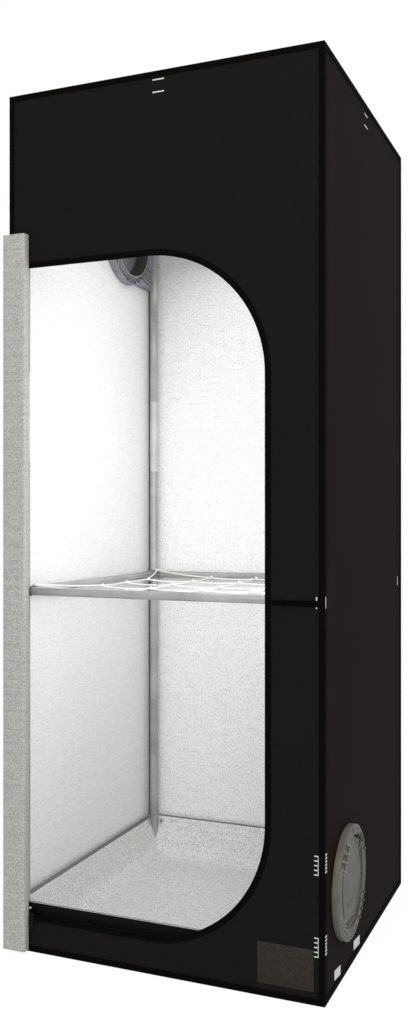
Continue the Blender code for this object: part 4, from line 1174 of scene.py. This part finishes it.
def vent_clamp():
    """The inner ring: two rims joined by a zigzag of thin ribs."""
    rims = [
        turned("clamp", [(0.0833, -0.0018), (0.0833, -0.0192), (0.0836, -0.0195), (0.0856, -0.0195),
                         (0.0859, -0.0192), (0.0859, -0.0018)]),
        turned("clamp_outer", [(0.0954, -0.0018), (0.0954, -0.0192), (0.0957, -0.0195),
                               (0.0974, -0.0195), (0.0980, -0.0189), (0.0980, -0.0018)]),
        turned("clamp_back", [(0.0850, -0.0018), (0.0850, -0.0032), (0.0962, -0.0032),
                              (0.0962, -0.0018)])]
    for i in range(RIB_PAIRS):
        for half, near, far in ((0.0, RIB_FAR, RIB_NEAR), (0.5, RIB_NEAR, RIB_FAR)):
            one = polar(near, 360 * (i + half) / RIB_PAIRS, RIB_LEVEL)
            other = polar(far, 360 * (i + half + 0.5) / RIB_PAIRS, RIB_LEVEL)
            way = other - one
            corner = Vector((way.length / 2, 0.0010, 0.0012))
            turn = (Matrix.Translation((one + other) / 2)
                    @ Matrix.Rotation(math.atan2(way.y, way.x), 4, "Z"))
            rims.append(block("rib", -corner, corner, turn=turn))
    return merge("clamp", rims)


def vent_bracket():
    """The ribbed plate that ties the ring to the upright beside it."""
    low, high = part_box("vent_low_bracket")
    past = 0.01
    plate = block("bracket", low, high)
    ring = rod("ring_seat", 0.0983, (low.x - past, VENT_Y, VENT_Z), (high.x + past, VENT_Y, VENT_Z), 120)
    grip = rod("pole_seat", POLE_RADIUS + 0.0003, (POLE_AT, -POLE_AT, low.z - past),
               (POLE_AT, -POLE_AT, high.z + past), 48)
    carve(plate, ring)
    carve(plate, grip)
    near = -POLE_AT + 0.0145
    for level in (-1, 1):
        edge = VENT_Z + level * 0.090
        for i in range(5):
            start = Vector((0, near, edge - level * (0.0045 + GROOVE_STEP * i)))
            length = 0.062 - GROOVE_STEP * i
            end = start + Vector((0, length, -level * 0.2 * length))
            way = end - start
            turn = Matrix.Translation(start) @ Matrix.Rotation(math.atan2(way.z, way.y), 4, "X")
            carve(plate, block("groove", (low.x - GROOVE_DEEP, 0, -GROOVE_HALF),
                               (high.x - GROOVE_DEEP, way.length, GROOVE_HALF), turn=turn))
    return plate


def build_vents():
    """Each part of a vent, modelled once, with a copy in the right wall and one in the left."""
    into_wall = vent_turn()
    across = Matrix.Translation((0, 0, VENT_RISE)) @ Matrix.Rotation(math.pi, 4, "Z")
    made = {"flange": vent_flange(), "cap": vent_cap(), "clamp_ring": vent_clamp()}
    for piece in made.values():
        pick_up(piece)
        set_down(piece.name, into_wall)
    made["bracket"] = vent_bracket()
    for part, piece in made.items():
        smooth(piece, 30)
        # The clamp ring and bracket take the paler copy: painted light of the interior
        finish = None if part in ("cap", "flange") else VENT_INNER_PAINTED_LIGHT
        for vent, turn in (("low", Matrix.Identity(4)), ("high", across)):
            body = f"vent_{vent}_cap" if part == "cap" else "tent"
            twin = copy_of(piece, f"{vent}_vent_{part}", turn)
            hand_over(twin, body, finish, [f"vent_{vent}_{part}"])
        bpy.data.objects.remove(piece)


# Trim

def sewn(stitches):
    """Finish and hand over what is sewn in white thread."""
    smooth(stitches)
    hand_over(stitches, "tent", WHITE_THREAD)


def sewn_bar(name, low, high):
    """A bar-tack, a little proud of the cloth."""
    sewn(block(name, low, high, 0.0004))


def build_trim():
    """White stitches and tabs, and the bare label."""
    front, right, taped = -SKIN, SKIN, HALF_WIDTH
    # Pairs of dashes under the roof seam, at the middle of each side
    for z in (1.5495, 1.528):
        mark, under, over = round(z * 1000), z - DASH_HALF, z + DASH_HALF
        sewn_bar(f"front_dash_{mark}", (-0.009, front - THREAD_PROUD, under), (0.013, front, over))
        sewn_bar(f"rear_dash_{mark}", (-0.013, -front, under), (0.009, THREAD_PROUD - front, over))
    for z in (1.5435, 1.522):
        mark, under, over = round(z * 1000), z - DASH_HALF, z + DASH_HALF
        sewn_bar(f"right_dash_{mark}", (right, -0.028, under), (right + THREAD_PROUD, -0.005, over))
        sewn_bar(f"left_dash_{mark}", (-right - THREAD_PROUD, 0.005, under), (-right, 0.028, over))
    # Ladders of bar-tacks beside the front right corner, on both faces
    for part, bottom in (("upper", 0.211), ("lower", 0.078)):
        rungs = []
        for i in range(5):
            z = bottom + 0.0012 + 0.0076 * i
            rungs.append(block("rung", (0.2815, front - THREAD_PROUD, z - 0.0010),
                               (0.2888, front, z + 0.0010), 0.0004))
        rungs.append(block("spine", (0.2878, front - THREAD_PROUD, bottom),
                           (0.2890, front, bottom + 0.0325), 0.0003))
        sewn(merge(f"front_ladder_{part}", rungs))
        dots = []
        for i in range(6):
            z = bottom + 0.0070 + 0.0056 * i
            dots.append(block("dot", (taped, -0.2985, z - 0.0014),
                              (taped + THREAD_PROUD, -0.2900, z + 0.0014), 0.0004))
        sewn(merge(f"right_ladder_{part}", dots))
    # Upright dashes at the height of the ring
    sewn_bar("front_mid_dash_upper", (0.2846, front - THREAD_PROUD, 0.6575), (0.2866, front, 0.6635))
    sewn_bar("front_mid_dash_lower", (0.2846, front - THREAD_PROUD, 0.6440), (0.2866, front, 0.6465))
    sewn_bar("right_mid_dash_front", (taped, -0.2975, 0.645), (taped + THREAD_PROUD, -0.2957, 0.664))
    sewn_bar("right_mid_dash_rear", (right, 0.2630, 0.645), (right + THREAD_PROUD, 0.2650, 0.664))
    sewn_bar("left_mid_dash_front", (-right - THREAD_PROUD, -0.2650, 0.645), (-right, -0.2630, 0.664))
    sewn_bar("left_mid_dash_rear", (-taped - THREAD_PROUD, 0.2957, 0.645), (-taped, 0.2975, 0.664))
    # White tabs above the bottom seam of the right side, their front ends a little higher
    bottom, top = 0.0122, 0.0285
    for i, (near, far) in enumerate(((-0.238, -0.200), (-0.109, -0.066))):
        middle = (right + 0.0006, (near + far) / 2, (bottom + top) / 2)
        tab = flat_grid(f"white_tab_{i}", far - near, top - bottom, middle, (90, 0, 90), 0.004)
        for point in tab.data.vertices:
            point.co.z += 0.005 * (far - point.co.y) / (far - near)
        modify(tab, "SOLIDIFY", thickness=0.0005, offset=-1)
        soften(tab, 0.0002)
        hand_over(tab, "tent", WHITE_TAPE)
    # The plain woven label, sewn on flat
    label = block("bare_label", (0.1835, front - 0.0008, 0.021), (0.2807, front, 0.090), 0.0003)
    smooth(label)
    hand_over(label, "tent", LABEL)


# Studio

def seen_by_eye(add):
    """1 for rays that the camera or a mirror sends out, and 0 for the light that lies on the object."""
    path = add("ShaderNodeLightPath").outputs
    seen = add("ShaderNodeMath", {0: path["Is Camera Ray"], 1: path["Is Glossy Ray"]}, operation="MAXIMUM")
    return add("ShaderNodeMath", {0: seen, 1: path["Is Transmission Ray"]}, operation="MAXIMUM")


def build_studio():
    """A pale floor and sky, four lamps and the photograph's camera."""
    clear_bench()
    bpy.ops.mesh.primitive_plane_add(size=24, location=(0, 0, -0.0006))
    floor = set_down("studio_floor")
    material, add = new_finish("pale_studio_floor")
    paper = add("ShaderNodeBsdfPrincipled", {"Base Color": linear("ebebeb"), "Roughness": 0.9,
                                             "Specular IOR Level": 0.0})
    share = add("ShaderNodeMath", {0: seen_by_eye(add), 1: 0.75}, operation="MULTIPLY")
    white = add("ShaderNodeEmission", {"Color": (1, 1, 1, 1), "Strength": 1.15})
    mixed = add("ShaderNodeMixShader", {0: share, 1: paper, 2: white})
    add("ShaderNodeOutputMaterial", {"Surface": mixed})
    floor.data.materials.append(material)

    world = bpy.context.scene.world or bpy.data.worlds.new("studio_world")
    bpy.context.scene.world = world
    world.use_nodes = True
    world.node_tree.nodes.clear()
    add = functools.partial(node, world.node_tree)
    strength = add("ShaderNodeMath", {0: seen_by_eye(add), 1: 0.35, 2: 0.65}, operation="MULTIPLY_ADD")
    sky = add("ShaderNodeBackground", {"Color": (1, 1, 1, 1), "Strength": strength})
    add("ShaderNodeOutputWorld", {"Surface": sky})

    def lamp(name, place, target, size, power, mirrored=True):
        data = bpy.data.lights.new(name, "AREA")
        data.shape = "RECTANGLE"
        data.size, data.size_y = size
        data.energy = power
        item = bpy.data.objects.new(name, data)
        item.location = place
        item.rotation_euler = (Vector(target) - Vector(place)).to_track_quat("-Z", "Y").to_euler()
        bpy.context.scene.collection.objects.link(item)
        item.visible_camera = False
        item.visible_glossy = mirrored

    lamp("front_softbox", (0.9, -3.1, 2.0), (0, 0, 0.7), (2.4, 2.4), 60)
    lamp("right_softbox", (3.2, -0.6, 2.2), (0.3, 0, 0.7), (2.0, 2.4), 30)
    lamp("grow_lamp", (0, 0, 1.38), (0, 0, 0), (0.42, 0.42), 1.0)
    lamp("door_softbox", (0.22, -0.19, 0.87), (-0.30, -0.04, 0.78), (0.16, 0.62), 2.1, mirrored=False)

    camera = bpy.data.objects.new("camera", bpy.data.cameras.new("camera"))
    camera.data.lens = 36.06
    camera.data.sensor_width = 36.0
    camera.data.shift_y = -0.0015
    camera.data.clip_start, camera.data.clip_end = 0.05, 60
    camera.location = (0.755, -1.906, 0.804)
    camera.rotation_euler = (math.radians(90), 0, math.radians(22.49))
    bpy.context.scene.collection.objects.link(camera)
    bpy.context.scene.camera = camera
    bpy.context.scene.view_settings.view_transform = "Standard"


build_panels()
build_binding()
build_corner_shade()
build_zip()
build_strap()
build_roll()
build_tray()
build_frame()
build_net()
build_vents()
build_trim()
build_studio()
